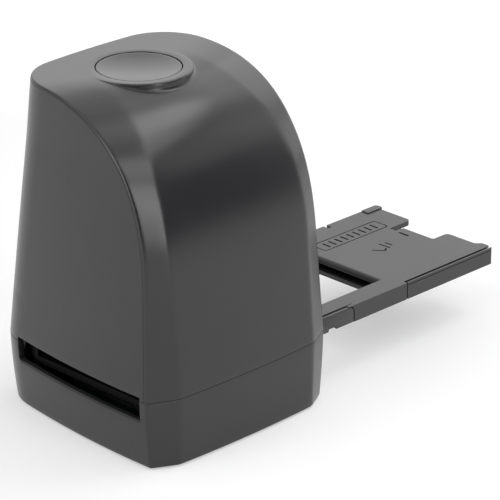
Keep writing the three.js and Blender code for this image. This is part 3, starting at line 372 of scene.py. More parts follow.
def round_edges(obj, width_mm, angle=40, segments=3):
    bevel = obj.modifiers.new("edges", "BEVEL")
    bevel.width = width_mm * MM
    bevel.segments = segments
    bevel.limit_method = "ANGLE"
    bevel.angle_limit = math.radians(angle)
    bevel.harden_normals = False
    apply_modifiers(obj)
    shade(obj)


def shade(obj, angle=40):
    obj.data.polygons.foreach_set("use_smooth", [True] * len(obj.data.polygons))
    obj.data.set_sharp_from_angle(angle=math.radians(angle))


def keep_flats_flat(obj):
    """Let the large flat faces rule the shading, so that no shade line runs over them."""
    shade(obj)
    weights = obj.modifiers.new("flats", "WEIGHTED_NORMAL")
    weights.mode = "FACE_AREA"
    weights.keep_sharp = True
    apply_modifiers(obj)

# %% [markdown]
# ### Cutting and plain shapes
# Holes and grooves are cut with a Boolean. The tools are prisms, a flat outline in plan that is
# carried up. One function then serves for boxes, discs and rounded plans, and each is placed to
# a tenth of a millimetre without moving an object.

# %% Cutting and plain shapes
def combine(obj, tool, operation, solver="EXACT"):
    boolean = obj.modifiers.new("combine", "BOOLEAN")
    boolean.operation = operation
    boolean.solver = solver
    boolean.object = tool
    apply_modifiers(obj)
    bpy.data.objects.remove(tool)


def cut(obj, tool, solver="EXACT"):
    combine(obj, tool, "DIFFERENCE", solver)


def grid_faces(rows, columns, start=0, closed=False, keep=None):
    faces = []
    last = columns if closed else columns - 1
    for r in range(rows - 1):
        for c in range(last):
            if keep and not keep(r, c):
                continue
            d = (c + 1) % columns
            a = start + r * columns
            b = a + columns
            faces.append((a + c, a + d, b + d, b + c))
    return faces


def prism(name, points, zs, material):
    """A flat outline in plan, drawn anticlockwise, carried from zs[0] up to zs[1]."""
    n = len(points)
    verts = [(x, y, zs[0]) for x, y in points] + [(x, y, zs[1]) for x, y in points]
    faces = [tuple(reversed(range(n))), tuple(range(n, 2 * n))]
    faces += [(i, (i + 1) % n, n + (i + 1) % n, n + i) for i in range(n)]
    return mesh_object(name, verts, faces, material, smooth=False)


def box_points(xs, ys):
    return [(xs[0], ys[0]), (xs[1], ys[0]), (xs[1], ys[1]), (xs[0], ys[1])]


def disc_points(x, y, radius, sides=48):
    turns = np.linspace(0, 2 * np.pi, sides, endpoint=False)
    return [(x + radius * math.cos(t), y + radius * math.sin(t)) for t in turns]


# %% [markdown]
# ## Front hood
# One moulding carries the curved front, both chamfers, the roof and the round wall about the
# button. Below the crown it is a plain grid of rows. The roof can't be: a grid would be torn by
# the round hole. So the top is a ring of rays that run from the hood's rim to the button's
# wall, and each ray then climbs that wall with a soft foot and a rounded lip. Where the wall is
# level with the roof, at the back, the same steps lie flat and vanish.

# %% Hood sizes
ROW_TOP = 98.0
RIM_ROUND = 0.9
RIM_WIDTH = 1.0
BUTTON_Y = 10.8
HOLE_RADIUS = 14.75
COLLAR_RADIUS = 18.2
HOOD_BOTTOM = SEAM + 0.16
HOLE_LIP = 0.2
CROWN_TURN = 0.8
HOOD_WALL = 1.2
COLLAR_BOTTOM = 112.5
CIRCLE_HANDLE = 0.5523


def edge_y(z):
    """Where the side of the hood's front ends, at height z."""
    o = outline(z)
    return front_y(side_x(o["half"], o["outer_y"]), z)


def edge_down(z):
    """The direction, in side view, that leads from the hood's edge down into the side wall."""
    step = 0.05
    z = np.minimum(np.asarray(z, float), HEIGHT - step)
    dy = (edge_y(z + step) - edge_y(z - step)) / (2 * step)
    length = np.hypot(dy, 1.0)
    return 1.0 / length, -dy / length


def crown_levels(start, count):
    """Heights from start to the roof that follow the crown's curve in even steps."""
    first = math.asin(((start - CROWN) / (HEIGHT - CROWN)) ** (1 / CROWN_TURN))
    return CROWN + (HEIGHT - CROWN) * np.sin(np.linspace(first, np.pi / 2, count)) ** CROWN_TURN


print("edge of the front half way up: y %.1f mm" % float(edge_y(60.0)))

# %% [markdown]
# ### Curves of the plan
# The back corner is a cubic curve whose handles run along the side and the back, so the wall
# bends with no crease. The rolled edge between front and side is a short quadratic curve. Both
# could be bevels, but points that are worked out keep the rows of the grid in line.

# %% Corner, back and rows
def corner_curve(z, count):
    """The rounded back corner in plan, tangent to the side and to the back."""
    o = {key: float(value) for key, value in outline(z).items()}
    start_y = o["back_y"] - o["corner"]
    start = np.array([float(side_x(o["half"], start_y)), start_y])
    end = np.array([start[0] - o["corner"], o["back_y"]])
    slope = -2 * SIDE_DRAW_IN * (start_y - SIDE_WIDEST) / (BACK_DEPTH - SIDE_WIDEST) ** 2
    handle = CIRCLE_HANDLE * o["corner"]
    p1 = start + handle * np.array([slope, 1.0]) / math.hypot(slope, 1.0)
    back_slope = 2 * BACK_BOW / end[0]
    p2 = end + handle * np.array([1.0, -back_slope]) / math.hypot(1.0, back_slope)
    t = np.linspace(0, 1, count)[:, None]
    u = 1 - t
    return u ** 3 * start + 3 * u ** 2 * t * p1 + 3 * u * t * t * p2 + t ** 3 * end


def back_line(z, end_x, count):
    share = np.linspace(1, 0, count)
    return np.stack([end_x * share, float(outline(z)["back_y"]) + BACK_BOW * (1 - share ** 2)], 1)


def front_columns(z):
    """Even columns over the bowed front, close ones over the soft inner edge of each chamfer."""
    o = outline(z)
    end_x = float(side_x(o["half"], o["outer_y"]))
    kink = float(o["inner_x"])
    parts = [np.linspace(0, kink - 2.2, 16)[:-1], np.linspace(kink - 2.2, kink + 2.2, 15)[:-1],
             np.linspace(kink + 2.2, end_x - 0.75 * RIM_ROUND, 8)]
    half = np.concatenate(parts)
    return np.concatenate([-half[::-1][:-1], half]), end_x


def bezier(a, b, c, count):
    t = np.linspace(0, 1, count)[:, None]
    return (1 - t) ** 2 * a + 2 * (1 - t) * t * b + t * t * c


def rolled_edge(inner, edge, down, width):
    """From the surface over the rounded edge and down into the side wall by a width."""
    side = [edge + RIM_ROUND * down, edge + width * down]
    for point in side:
        if abs(down[0]) < 1e-9 and abs(down[1]) > 1e-9:
            x = float(side_x(outline(point[2])["half"], point[1]))
            point[0] = math.copysign(x, edge[0])
    return np.concatenate([bezier(inner, edge, side[0], 6)[1:], [side[1]]])


def edge_point(z, sign):
    o = outline(z)
    x = float(side_x(o["half"], o["outer_y"]))
    down_y, down_z = edge_down(z)
    return np.array([sign * x, float(edge_y(z)), z]), np.array([0.0, float(down_y), float(down_z)])


def front_row(z, width):
    """One row of the front from side wall to side wall."""
    xs, _ = front_columns(z)
    row = np.stack([xs, front_y(xs, z), np.full(xs.shape, z)], 1)
    left = rolled_edge(row[0], *edge_point(z, -1), width)
    right = rolled_edge(row[-1], *edge_point(z, 1), width)
    return np.concatenate([left[::-1], row, right])


print("crown levels:", crown_levels(ROW_TOP, 5).round(1).tolist())

# %% [markdown]
# ### Rim of the roof
# The rim is a list of edge points. Each knows the point just inside it on the roof and the way
# down the wall. The front row of the grid closes the list into a loop.

# %% Roof rim
ROOF = {key: float(value) for key, value in outline(HEIGHT).items()}
SIDE_END_Y = ROOF["back_y"] - ROOF["corner"] - 0.4


def roof_rim():
    """Right edge, back corner and back of the roof up to the middle: inner, edge and down."""
    rim = []
    for z in crown_levels(ROW_TOP, 56)[1:]:
        edge, down = edge_point(float(z), 1)
        if edge[1] > SIDE_END_Y:
            break
        inner_x = edge[0] - 0.75 * RIM_ROUND
        inner = np.array([inner_x, edge[1], float(crown_z(inner_x, edge[1]))])
        rim.append((inner, edge, down))
    corner = corner_curve(HEIGHT, 26)
    plan = np.concatenate([corner, back_line(HEIGHT, corner[-1, 0], 14)[1:]])
    tangent = np.gradient(plan, axis=0)
    normal = np.stack([-tangent[:, 1], tangent[:, 0]], 1)
    normal /= np.linalg.norm(normal, axis=1)[:, None]
    for p, n in zip(plan, normal):
        level = float(crown_z(*p))
        q = p + n * RIM_ROUND * 0.75
        rim.append((np.array([*q, float(crown_z(*q))]), np.array([*p, level]),
                    np.array([0.0, 0.0, -1.0])))
    return rim


print("the roof's sides end at y %.1f mm" % SIDE_END_Y)

# %% [markdown]
# ### Rays over the roof
# Each ray starts at the rim, runs over the crown to the foot of the button's wall, climbs it and
# ends inside the hole. All rays have the same number of points, so neighbours join in strips of
# four-sided faces with no torn corner.

# %% Rays
def mirror(point):
    return np.array([-point[0], point[1], point[2]])


def ray(outer):
    """From the rim over the crown to the button's wall, up it and down into its hole."""
    angle = math.atan2(outer[1] - BUTTON_Y, outer[0])
    way = np.array([math.cos(angle), math.sin(angle)])
    at = lambda radius: np.array([0, BUTTON_Y]) + radius * way
    foot_round, lip_round = 0.9, 0.75
    start, foot = outer[:2], at(COLLAR_RADIUS + foot_round)
    share = np.linspace(0, 1, 27)[1:, None]
    plan = start + (foot - start) * share
    heights = crown_z(plan[:, 0], plan[:, 1])
    points = [outer] + [np.array([*p, float(h)]) for p, h in zip(plan, heights)]
    root = at(COLLAR_RADIUS + 0.03)
    root_z = float(crown_z(*root))
    tall = HEIGHT - root_z
    rise, drop = min(foot_round, 0.5 * tall), min(lip_round, 0.48 * tall)
    root_3d = np.array([*root, root_z])
    climb = bezier(points[-1], root_3d, root_3d + [0, 0, rise], 6)[1:]
    lip_low = np.array([*at(COLLAR_RADIUS), HEIGHT - drop])
    lip = bezier(lip_low, np.array([*at(COLLAR_RADIUS), HEIGHT]),
                 np.array([*at(COLLAR_RADIUS - lip_round), HEIGHT]), 6)
    inner_lip = bezier(np.array([*at(HOLE_RADIUS + HOLE_LIP), HEIGHT]),
                       np.array([*at(HOLE_RADIUS), HEIGHT]),
                       np.array([*at(HOLE_RADIUS), HEIGHT - HOLE_LIP]), 4)
    bottom = np.array([[*at(HOLE_RADIUS), COLLAR_BOTTOM]])
    return np.concatenate([points, climb, lip, inner_lip, bottom])


# %% [markdown]
# ### The hood's mesh
# The rows below, the rays above and the rim's strips between them are merged into one sheet.
# Its faces are turned outwards before Solidify gives it a wall, because on a closed shell the
# inner side would be turned as well.

# %% Hood
def build_hood():
    levels = np.concatenate([np.linspace(HOOD_BOTTOM, CROWN, 14)[:-1],
                             np.linspace(CROWN, ROW_TOP, 39)])
    rows = [front_row(float(z), RIM_WIDTH) for z in levels]
    verts = [p for row in rows for p in row]
    faces = grid_faces(len(rows), len(rows[0]))
    half = roof_rim()
    rim = half + [(mirror(a), mirror(b), mirror(c)) for a, b, c in reversed(half[:-1])]
    xs, _ = front_columns(ROW_TOP)
    top_row = np.stack([xs, front_y(xs, ROW_TOP), np.full(xs.shape, ROW_TOP)], 1)
    loop = list(top_row) + [inner for inner, _, _ in rim]
    rays = [ray(p) for p in loop]
    start = len(verts)
    verts += [p for r in rays for p in r]
    steps, count = len(rays[0]), len(rays)
    for i in range(count):
        a, b = start + i * steps, start + ((i + 1) % count) * steps
        faces += [(a + k, b + k, b + k + 1, a + k + 1) for k in range(steps - 1)]
    ends = [(top_row[-1], *edge_point(ROW_TOP, 1))] + rim + [(top_row[0], *edge_point(ROW_TOP, -1))]
    strips = [np.concatenate([[e[0]], rolled_edge(*e, RIM_WIDTH)]) for e in ends]
    start = len(verts)
    verts += [p for s in strips for p in s]
    faces += grid_faces(len(strips), len(strips[0]), start)
    hood = mesh_object("hood_shell", verts, faces, shell_abs)
    merge_and_face_out(hood, 2e-6)
    add_wall(hood, HOOD_WALL)
    round_edges(hood, 0.22, angle=55)
    return hood


hood = build_hood()
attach(hood, "body")
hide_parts("front_hood")
print("hood:", len(hood.data.polygons), "faces")

# %% [markdown]
# ## Rear shell
# Both sides and the back are one moulding whose front edge keeps a fine gap of 0.12 mm to the
# hood's edge. Its rows are level, and each starts where that edge stands. The upper part of each
# tray slot is left out of the grid, so that its edges are clean.

# %% Rear shell
SHELL_WALL = 2.2
SHELL_GAP = 0.12
SLOT_HALF = 32.4
SLOT_TOP, SLOT_BOTTOM = SEAM + 1.35, 16.95
SIDE_COLUMNS = (3, 26)
CORNER_COLUMNS = (2, 20)
BACK_COLUMNS = 12
SOCKET_X, SOCKET_Y, SOCKET_Z = (-4.65, 4.65), (36.0, 52.0), (34.55, 40.05)


def side_and_back(z, start_y):
    """The plan from the side's front end to the middle of the back, and where its slot lies."""
    o = {key: float(value) for key, value in outline(z).items()}
    corner_y = o["back_y"] - o["corner"]
    slot_front = -SLOT_HALF if z < 40 else start_y + (corner_y - start_y) * 0.028
    ys = np.concatenate([np.linspace(start_y, slot_front, SIDE_COLUMNS[0])[:-1],
                         np.linspace(slot_front, corner_y, SIDE_COLUMNS[1])])
    side = np.stack([side_x(o["half"], ys), ys], 1)
    fine = corner_curve(z, 400)
    stop = np.interp(SLOT_HALF, fine[:, 1], np.linspace(0, 1, 400)) if z < 40 else 0.03
    t = np.concatenate([np.linspace(0, stop, CORNER_COLUMNS[0]),
                        np.linspace(stop, 1, CORNER_COLUMNS[1])[1:]])[1:]
    fine_t = np.linspace(0, 1, 400)
    corner = np.stack([np.interp(t, fine_t, fine[:, i]) for i in (0, 1)], 1)
    back = back_line(z, corner[-1, 0], BACK_COLUMNS)[1:]
    plan = np.concatenate([side, corner, back])
    return np.concatenate([plan, np.full((len(plan), 1), z)], 1)


SLOT_COLUMNS = (SIDE_COLUMNS[0] - 1, sum(SIDE_COLUMNS) - 2 + CORNER_COLUMNS[0] - 1)


def in_slot(column, count):
    low, high = SLOT_COLUMNS
    return low <= column < high or low <= count - 2 - column < high


def split_curve():
    low = np.linspace(SEAM - 3, CROWN, 30)[:-1]
    z = np.concatenate([low, crown_levels(CROWN + 0.01, 400)])
    y = edge_y(z)
    down_y, down_z = edge_down(z)
    away = RIM_WIDTH + SHELL_GAP
    keep = y < SIDE_END_Y
    return (y + away * down_y)[keep], (z + away * down_z)[keep]


def build_rear():
    split_y, split_z = split_curve()
    crown_rows = split_z[(split_z > CROWN)][::8]
    levels = np.concatenate([[HOOD_BOTTOM, SLOT_TOP], np.linspace(28, CROWN, 12), crown_rows[1:],
                             [HEIGHT - RIM_WIDTH - SHELL_GAP]])
    starts = np.interp(levels, split_z, split_y)
    starts[-1] = SIDE_END_Y
    rows = []
    for z, y in zip(levels, starts):
        half = side_and_back(float(z), float(y))
        rows.append(np.concatenate([half * [-1, 1, 1], half[::-1][1:]]))
    count = len(rows[0])
    faces = grid_faces(len(rows), count, keep=lambda r, c: not (r == 0 and in_slot(c, count)))
    rear = mesh_object("rear_cover", [p for row in rows for p in row], faces, shell_abs)
    merge_and_face_out(rear)
    add_wall(rear, SHELL_WALL)
    cut(rear, prism("socket_opening", box_points(SOCKET_X, SOCKET_Y), SOCKET_Z, shell_abs))
    round_edges(rear, 0.14, angle=50)
    return rear


rear = build_rear()
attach(rear, "body")
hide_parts("rear_shell")
print("rear shell:", len(rear.data.polygons), "faces")

# %% [markdown]
# ## Base
# The tub under the seam is a full loop of the same outline at each height, drawn in round where
# it nears the table, with the lower part of both slots left out. The outer lip of each slot is
# rounded, and the feet and the screws sit in recesses of the floor.

# %% Base
TABLE_ROUND, LIP_ROUND = 0.7, 0.9
FOOT_RECESS, SCREW_RECESS = (5.15, 0.95), (2.6, 2.0)
FOOT_PLACES = [(24.3, -26.4), (27.8, 29.0)]
SCREW_PLACES = [(24.3, -35.6), (30.3, 38.2)]


def base_loop(z):
    front = front_row(z, RIM_ROUND + 0.05)
    half = side_and_back(z, float(front[-1, 1]))
    left = (half * [-1, 1, 1])[::-1][1:-1]
    loop = np.concatenate([front, half[1:], left])
    loop[:, 2] = z
    return loop, len(front)


def shrink(loop, inset):
    ahead, behind = np.roll(loop, -1, 0), np.roll(loop, 1, 0)
    tangent = (ahead - behind)[:, :2]
    normal = np.stack([-tangent[:, 1], tangent[:, 0]], 1)
    normal /= np.linalg.norm(normal, axis=1)[:, None]
    moved = loop.copy()
    moved[:, :2] += normal * inset
    return moved


print("base loop:", len(base_loop(SEAM)[0]), "points")

# %% [markdown]
# ### Base tub
# The loops are stacked from the table up, and the lowest ones are drawn in along a quarter turn,
# which rounds the edge that stands over the table. The lip of the slot is bevelled on those
# edges alone, because a Bevel modifier would round every other edge by as much.

# %% Base tub
def soften_slot_lip(base):
    """A larger radius on the outer lip of each slot's floor, where the tray slides in."""
    bm = bmesh.new()
    bm.from_mesh(base.data)
    bm.normal_update()
    lip = []
    for edge in bm.edges:
        low, high = sorted((face.normal for face in edge.link_faces), key=lambda n: n.z)
        level = max(abs(v.co.z / MM - FOOT - SLOT_BOTTOM) for v in edge.verts)
        if level < 0.3 and high.z > 0.9 and abs(low.z) < 0.5 and low.x * edge.verts[0].co.x > 0:
            lip.append(edge)
    bmesh.ops.bevel(bm, geom=lip, offset=LIP_ROUND * MM, segments=4, profile=0.5, affect="EDGES")
    bm.to_mesh(base.data)
    bm.free()


def build_base():
    levels = [TABLE_ROUND, 2.5, 5, 8, 11, 14, SLOT_BOTTOM, 19, 21.5, SEAM]
    loops = []
    for turn in np.linspace(np.pi / 2, 0, 6)[:-1]:
        loop, front_count = base_loop(TABLE_ROUND * (1 - math.sin(turn)))
        loops.append(shrink(loop, TABLE_ROUND * (1 - math.cos(turn))))
    for z in levels:
        loop, front_count = base_loop(float(z))
        loops.append(loop)
    count = len(loops[0])
    slot_row = len(loops) - 4

    def keep(r, c):
        if r < slot_row:
            return True
        along = c - (front_count - 1)
        low, high = SLOT_COLUMNS
        other = count - 1 - c
        return not (low <= along < high or low <= other < high)

    faces = grid_faces(len(loops), count, closed=True, keep=keep)
    faces.append(tuple(reversed(range(count))))
    base = mesh_object("base_tub", [p for loop in loops for p in loop], faces, shell_abs)
    merge_and_face_out(base)
    add_wall(base, SHELL_WALL)
    soften_slot_lip(base)
    round_edges(base, 0.25, angle=50)
    for places, (radius, top) in ((FOOT_PLACES, FOOT_RECESS), (SCREW_PLACES, SCREW_RECESS)):
        for x, y in places:
            for sign in (-1, 1):
                recess = prism("recess", disc_points(sign * x, y, radius), (-3, top), shell_abs)
                cut(base, recess, "FAST")
    shade(base)
    return base


base = build_base()
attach(base, "body")
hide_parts("base_housing")
print("base:", len(base.data.polygons), "faces")

# %% [markdown]
# ## Feet and base screws
# Each repeats four times on the underside, so a node tree sets one on every point of a small
# cloud of places. The screws are pan heads with a cross recess, each turned as its thread
# happened to end. The feet are plain rubber discs pressed into shallow rounds.

# %% Tree helpers
FOOT_SIZES = {"Radius": 5.0, "Height": 1.3}
SCREW_HEAD_LEVEL = 2.3
SCREW_SIZES = {"Head Radius": 2.4, "Head Height": 1.6, "Shank Radius": 1.2, "Shank Length": 23.0,
               "Recess Width": 0.62, "Recess Length": 2.7, "Recess Depth": 0.9}


def tree_with_inputs(name, sizes):
    tree = bpy.data.node_groups.new(name, "GeometryNodeTree")
    tree.interface.new_socket("Places", in_out="INPUT", socket_type="NodeSocketGeometry")
    for label in sizes:
        tree.interface.new_socket(label, in_out="INPUT", socket_type="NodeSocketFloat")
    tree.interface.new_socket("Finish", in_out="INPUT", socket_type="NodeSocketMaterial")
    tree.interface.new_socket("Pieces", in_out="OUTPUT", socket_type="NodeSocketGeometry")
    return tree, node(tree, "NodeGroupInput").outputs


def lifted(tree, mesh, height, turn=0.0):
    up = node(tree, "ShaderNodeCombineXYZ", Z=height).outputs[0]
    return node(tree, "GeometryNodeTransform", Geometry=mesh, Translation=up,
                Rotation=(0.0, 0.0, turn)).outputs[0]


def set_on_places(tree, given, piece, turn):
    """One piece on each place, turned about its own axis by a fixed chance, as plain mesh."""
    chance = node(tree, "FunctionNodeRandomValue", {"data_type": "FLOAT_VECTOR"},
                  i0=(0.0, 0.0, 0.0), i1=(0.0, 0.0, turn), i8=7)
    spread = node(tree, "GeometryNodeInstanceOnPoints", Points=given["Places"], Instance=piece,
                  Rotation=chance.outputs[0])
    plain = node(tree, "GeometryNodeRealizeInstances", Geometry=spread.outputs[0])
    finished = node(tree, "GeometryNodeSetMaterial", Geometry=plain.outputs[0],
                    Material=given["Finish"])
    out = node(tree, "NodeGroupOutput")
    tree.links.new(finished.outputs[0], out.inputs["Pieces"])


print("screw sizes in mm:", SCREW_SIZES)

# %% [markdown]
# ### The two trees
# A foot is a plain cylinder. A screw is a head with two crossed arms cut out of it, on a shank.
# Four copies could be set by hand, but a tree keeps them equal: a size is one input, and the
# seed of the turn is fixed, so each run gives the same screws.

# %% Feet and base screws
def foot_tree(sizes):
    tree, given = tree_with_inputs("rubber_feet", sizes)
    disc = node(tree, "GeometryNodeMeshCylinder", Vertices=64, Radius=given["Radius"],
                Depth=given["Height"]).outputs[0]
    half = node(tree, "ShaderNodeMath", {"operation": "MULTIPLY"}, i0=given["Height"], i1=0.5)
    set_on_places(tree, given, lifted(tree, disc, half.outputs[0]), 0.0)
    return tree


def screw_tree(sizes):
    tree, given = tree_with_inputs("pan_head_screws", sizes)

    def total(a, b, share):
        return node(tree, "ShaderNodeMath", {"operation": "MULTIPLY_ADD"}, i0=b, i1=share,
                    i2=a).outputs[0]

    head = node(tree, "GeometryNodeMeshCylinder", Vertices=48, Radius=given["Head Radius"],
                Depth=given["Head Height"]).outputs[0]
    head = lifted(tree, head, total(0.0, given["Head Height"], 0.5))
    shank = node(tree, "GeometryNodeMeshCylinder", Vertices=24, Radius=given["Shank Radius"],
                 Depth=given["Shank Length"]).outputs[0]
    shank = lifted(tree, shank, total(given["Head Height"], given["Shank Length"], 0.5))
    size = node(tree, "ShaderNodeCombineXYZ", X=given["Recess Length"], Y=given["Recess Width"],
                Z=total(0.0, given["Recess Depth"], 2.0)).outputs[0]
    arm = node(tree, "GeometryNodeMeshCube", Size=size).outputs[0]
    for turn in (0.0, math.pi / 2):
        recess = node(tree, "GeometryNodeMeshBoolean",
                      {"operation": "DIFFERENCE", "solver": "EXACT"})
        tree.links.new(head, recess.inputs["Mesh 1"])
        tree.links.new(lifted(tree, arm, 0.0, turn), recess.inputs["Mesh 2"])
        head = recess.outputs[0]
    screw = node(tree, "GeometryNodeJoinGeometry")
    tree.links.new(shank, screw.inputs[0])
    tree.links.new(head, screw.inputs[0])
    set_on_places(tree, given, screw.outputs[0], math.pi)
    return tree


def pieces_on(name, places, height, tree, sizes, finish):
    """The tree's pieces on a cloud of places, mirrored unless they lie in the middle."""
    points = [(s * x, y, height) for x, y in places for s in ((-1, 1) if x else (1,))]
    cloud = mesh_object(name, points, [], finish)
    spread = cloud.modifiers.new("spread", "NODES")
    spread.node_group = tree
    for item in tree.interface.items_tree:
        if item.name in sizes:
            spread[item.identifier] = sizes[item.name] * MM
        if item.name == "Finish":
            spread[item.identifier] = finish
    apply_modifiers(cloud)
    empty = [i for i, m in enumerate(cloud.data.materials) if m is None]
    for i in reversed(empty):
        cloud.data.materials.pop(index=i)
    cloud.data.polygons.foreach_set("material_index", [0] * len(cloud.data.polygons))
    return cloud


feet = pieces_on("rubber_feet", FOOT_PLACES, -FOOT, foot_tree(FOOT_SIZES), FOOT_SIZES, foot_rubber)
round_edges(feet, 0.3, angle=50)
screws = pieces_on("base_screws", SCREW_PLACES, SCREW_HEAD_LEVEL, screw_tree(SCREW_SIZES),
                   SCREW_SIZES, bright_steel)
round_edges(screws, 0.12, angle=50, segments=2)
for made, row in ((feet, "foot"), (screws, "base_screw")):
    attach(made, "body")
    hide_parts(*[f"{row}_{end}_{side}" for end in ("front", "rear")
                        for side in ("left", "right")])
    print(made.name, len(made.data.polygons), "faces,", [m.name for m in made.data.materials])

# %% [markdown]
# ## The button
# A turned cap with a shallow dish, a small radius on its rim and a catch below that holds it
# under the hood's collar. The black ring about it in the photo is the real gap, drawn as a
# quarter of a millimetre, and the dark depth of the hole behind it.

# %% Button cap
def turned_object(name, profile, x, y, sides, material):
    """Profile points (radius, height) from the axis out and round, spun about a vertical axis."""
    verts, faces = [], []
    turns = np.linspace(0, 2 * np.pi, sides, endpoint=False)
    for radius, z in profile:
        verts += [(x + radius * math.cos(t), y + radius * math.sin(t), z) for t in turns]
    n = len(profile)
    for r in range(n - 1):
        for c in range(sides):
            d = (c + 1) % sides
            faces.append((r * sides + c, r * sides + d, (r + 1) * sides + d, (r + 1) * sides + c))
    obj = mesh_object(name, verts, faces, material)
    merge_and_face_out(obj)
    return obj


CAP_RADIUS, CAP_TOP, CAP_DISH, CAP_ROUND = 14.5, 118.85, 1.1, 0.35


def cap_profile():
    points = [(0.0, 110.85), (2.4, 110.85), (2.4, 116.05), (12.9, 116.05), (12.9, 111.0),
              (15.65, 111.0), (15.65, 112.2), (CAP_RADIUS, 112.2)]
    for turn in np.linspace(0, np.pi / 2, 8):
        points.append((CAP_RADIUS - CAP_ROUND * (1 - math.cos(turn)),
                       CAP_TOP - CAP_ROUND * (1 - math.sin(turn))))
    flat = CAP_RADIUS - CAP_ROUND - 0.25
    for share in np.linspace(1, 0, 22):
        points.append((flat * share, CAP_TOP - CAP_DISH * (1 - share * share)))
    return points


cap = turned_object("dished_button", cap_profile(), 0, BUTTON_Y, 128, button_abs)
shade(cap, 35)
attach(cap, "button")
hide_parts("button_cap")
print("button cap:", len(cap.data.polygons), "faces")

# %% [markdown]
# ## The button's spring
# A wire swept along a helix by a node tree. It stands on the switch board and shortens by the
# millimetre that the cap travels, so its upper end stays against the cap.

# %% Spring
SPRING_TURNS, SPRING_PLACE, SPRING_BOTTOM = 5.0, (0.0, 10.8), 104.875
SPRING_SIZES = {"Coil Radius": 5.6, "Wire Radius": 0.275, "Height": 10.8}


def spring_tree(sizes):
    tree, given = tree_with_inputs("coil_spring", sizes)
    coil = node(tree, "GeometryNodeCurveSpiral", Resolution=32, Rotations=SPRING_TURNS,
                Start_Radius=given["Coil Radius"], End_Radius=given["Coil Radius"],
                Height=given["Height"]).outputs[0]
    wire = node(tree, "GeometryNodeCurvePrimitiveCircle", Resolution=12,
                Radius=given["Wire Radius"]).outputs[0]
    swept = node(tree, "GeometryNodeCurveToMesh", Curve=coil, Profile_Curve=wire, Fill_Caps=True)
    set_on_places(tree, given, swept.outputs[0], 0.0)
    return tree


spring = pieces_on("coil_spring", [SPRING_PLACE], SPRING_BOTTOM, spring_tree(SPRING_SIZES),
                   SPRING_SIZES, bright_steel)
shade(spring)
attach(spring, "body")
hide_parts("button_spring")
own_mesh(spring)

# %% [markdown]
# ## The slide tray
# The frame and the lid are drawn as plans with rounded corners, carried up, cut by the same
# tools (window, click notches, channel), and softened along every edge. Details that the photo
# shows on the visible right-hand end are mirrored to the hidden left-hand end.

# %% Tray helpers
TRAY_MIDDLE, TRAY_HALF_LENGTH, TRAY_HALF = 66.1, 71.8, 28.65
TRAY_BOTTOM, TRAY_TOP, LID_BOTTOM = 17.8, SEAM, 22.3
WINDOW_HALF, SLIDE_HALF, CHANNEL_BOTTOM = 20.1, 25.3, 19.4
STRIP_TOP = TRAY_TOP + 0.4
CLICK_PLACES = (-43.5, 0, 43.5)
WALL_BACK, LIP_BACK, GAP_BACK, SEAT_LEVEL = -27.3, -28.05, -25.9, 22.2
THROUGH, WINDOW_CORNERS = (10, 30), [0.6] * 4


def rounded_plan(points, radii, steps=6):
    """Corners of a plan, each rounded by its own radius with a quadratic curve."""
    out = []
    n = len(points)
    for i, (p, r) in enumerate(zip(points, radii)):
        p = np.array(p, float)
        if r <= 0:
            out.append(tuple(p))
            continue
        before, after = np.array(points[i - 1], float), np.array(points[(i + 1) % n], float)
        a = p + (before - p) / np.linalg.norm(before - p) * r
        b = p + (after - p) / np.linalg.norm(after - p) * r
        out += [tuple(q) for q in bezier(a, p, b, steps)]
    return out


def both_ends(right_end):
    """(x, y, radius) down the right-hand end, repeated at the left-hand end."""
    left_end = [(2 * TRAY_MIDDLE - x, y, r) for x, y, r in right_end][::-1]
    whole = right_end + left_end
    return rounded_plan([(x, y) for x, y, _ in whole], [r for _, _, r in whole])


def ends(box_x):
    """A range of x at the right-hand end, and its mirror image at the left-hand end."""
    return [box_x, (2 * TRAY_MIDDLE - box_x[1], 2 * TRAY_MIDDLE - box_x[0])]


def tray_box(name, xs, ys, zs):
    return prism(name, box_points(xs, ys), zs, tray_abs)


def tray_cut_tools():
    """The window and the three click notches, which go through frame and lid."""
    window = rounded_plan(box_points((TRAY_MIDDLE - WINDOW_HALF, TRAY_MIDDLE + WINDOW_HALF),
                                     (-WINDOW_HALF, WINDOW_HALF)), WINDOW_CORNERS)
    tools = [prism("window", window, THROUGH, tray_abs)]
    for place in CLICK_PLACES:
        x = TRAY_MIDDLE + place
        tools.append(tray_box("notch", (x - 0.9, x + 0.9), (TRAY_HALF - 2.6, 40), (18.8, 30)))
    return tools


WINDOW_ROUND = 1.7


def window_rounding():
    """The window's hollow with its top edge rolled outwards, as a stack of growing plans."""
    loops = [(WINDOW_HALF, 20.0)]
    for turn in np.linspace(0, np.pi / 2, 8):
        loops.append((WINDOW_HALF + WINDOW_ROUND * (1 - math.cos(turn)),
                      TRAY_TOP - WINDOW_ROUND * (1 - math.sin(turn))))
    loops.append((loops[-1][0], 30.0))
    verts = []
    for half, level in loops:
        plan = rounded_plan(box_points((TRAY_MIDDLE - half, TRAY_MIDDLE + half),
                                       (-WINDOW_HALF, half)), WINDOW_CORNERS)
        verts += [(x, y, level) for x, y in plan]
    n = len(verts) // len(loops)
    faces = grid_faces(len(loops), n, closed=True)
    faces += [tuple(reversed(range(n))), tuple(range(n * (len(loops) - 1), n * len(loops)))]
    return mesh_object("rolled_window", verts, faces, tray_abs, smooth=False)


def stroke(a, b, width):
    """A straight groove between two points of the plan, as a four-cornered outline."""
    a, b = np.array(a, float), np.array(b, float)
    along = (b - a) / np.linalg.norm(b - a)
    side = np.array([-along[1], along[0]]) * width / 2
    return [tuple(a - side), tuple(b - side), tuple(b + side), tuple(a + side)]


def engrave(obj, outline_points, depth, top):
    cut(obj, prism("groove", outline_points, (top - depth, top + 1), obj.data.materials[0]))


print("tray:", 2 * TRAY_HALF_LENGTH, "by", 2 * TRAY_HALF, "mm")

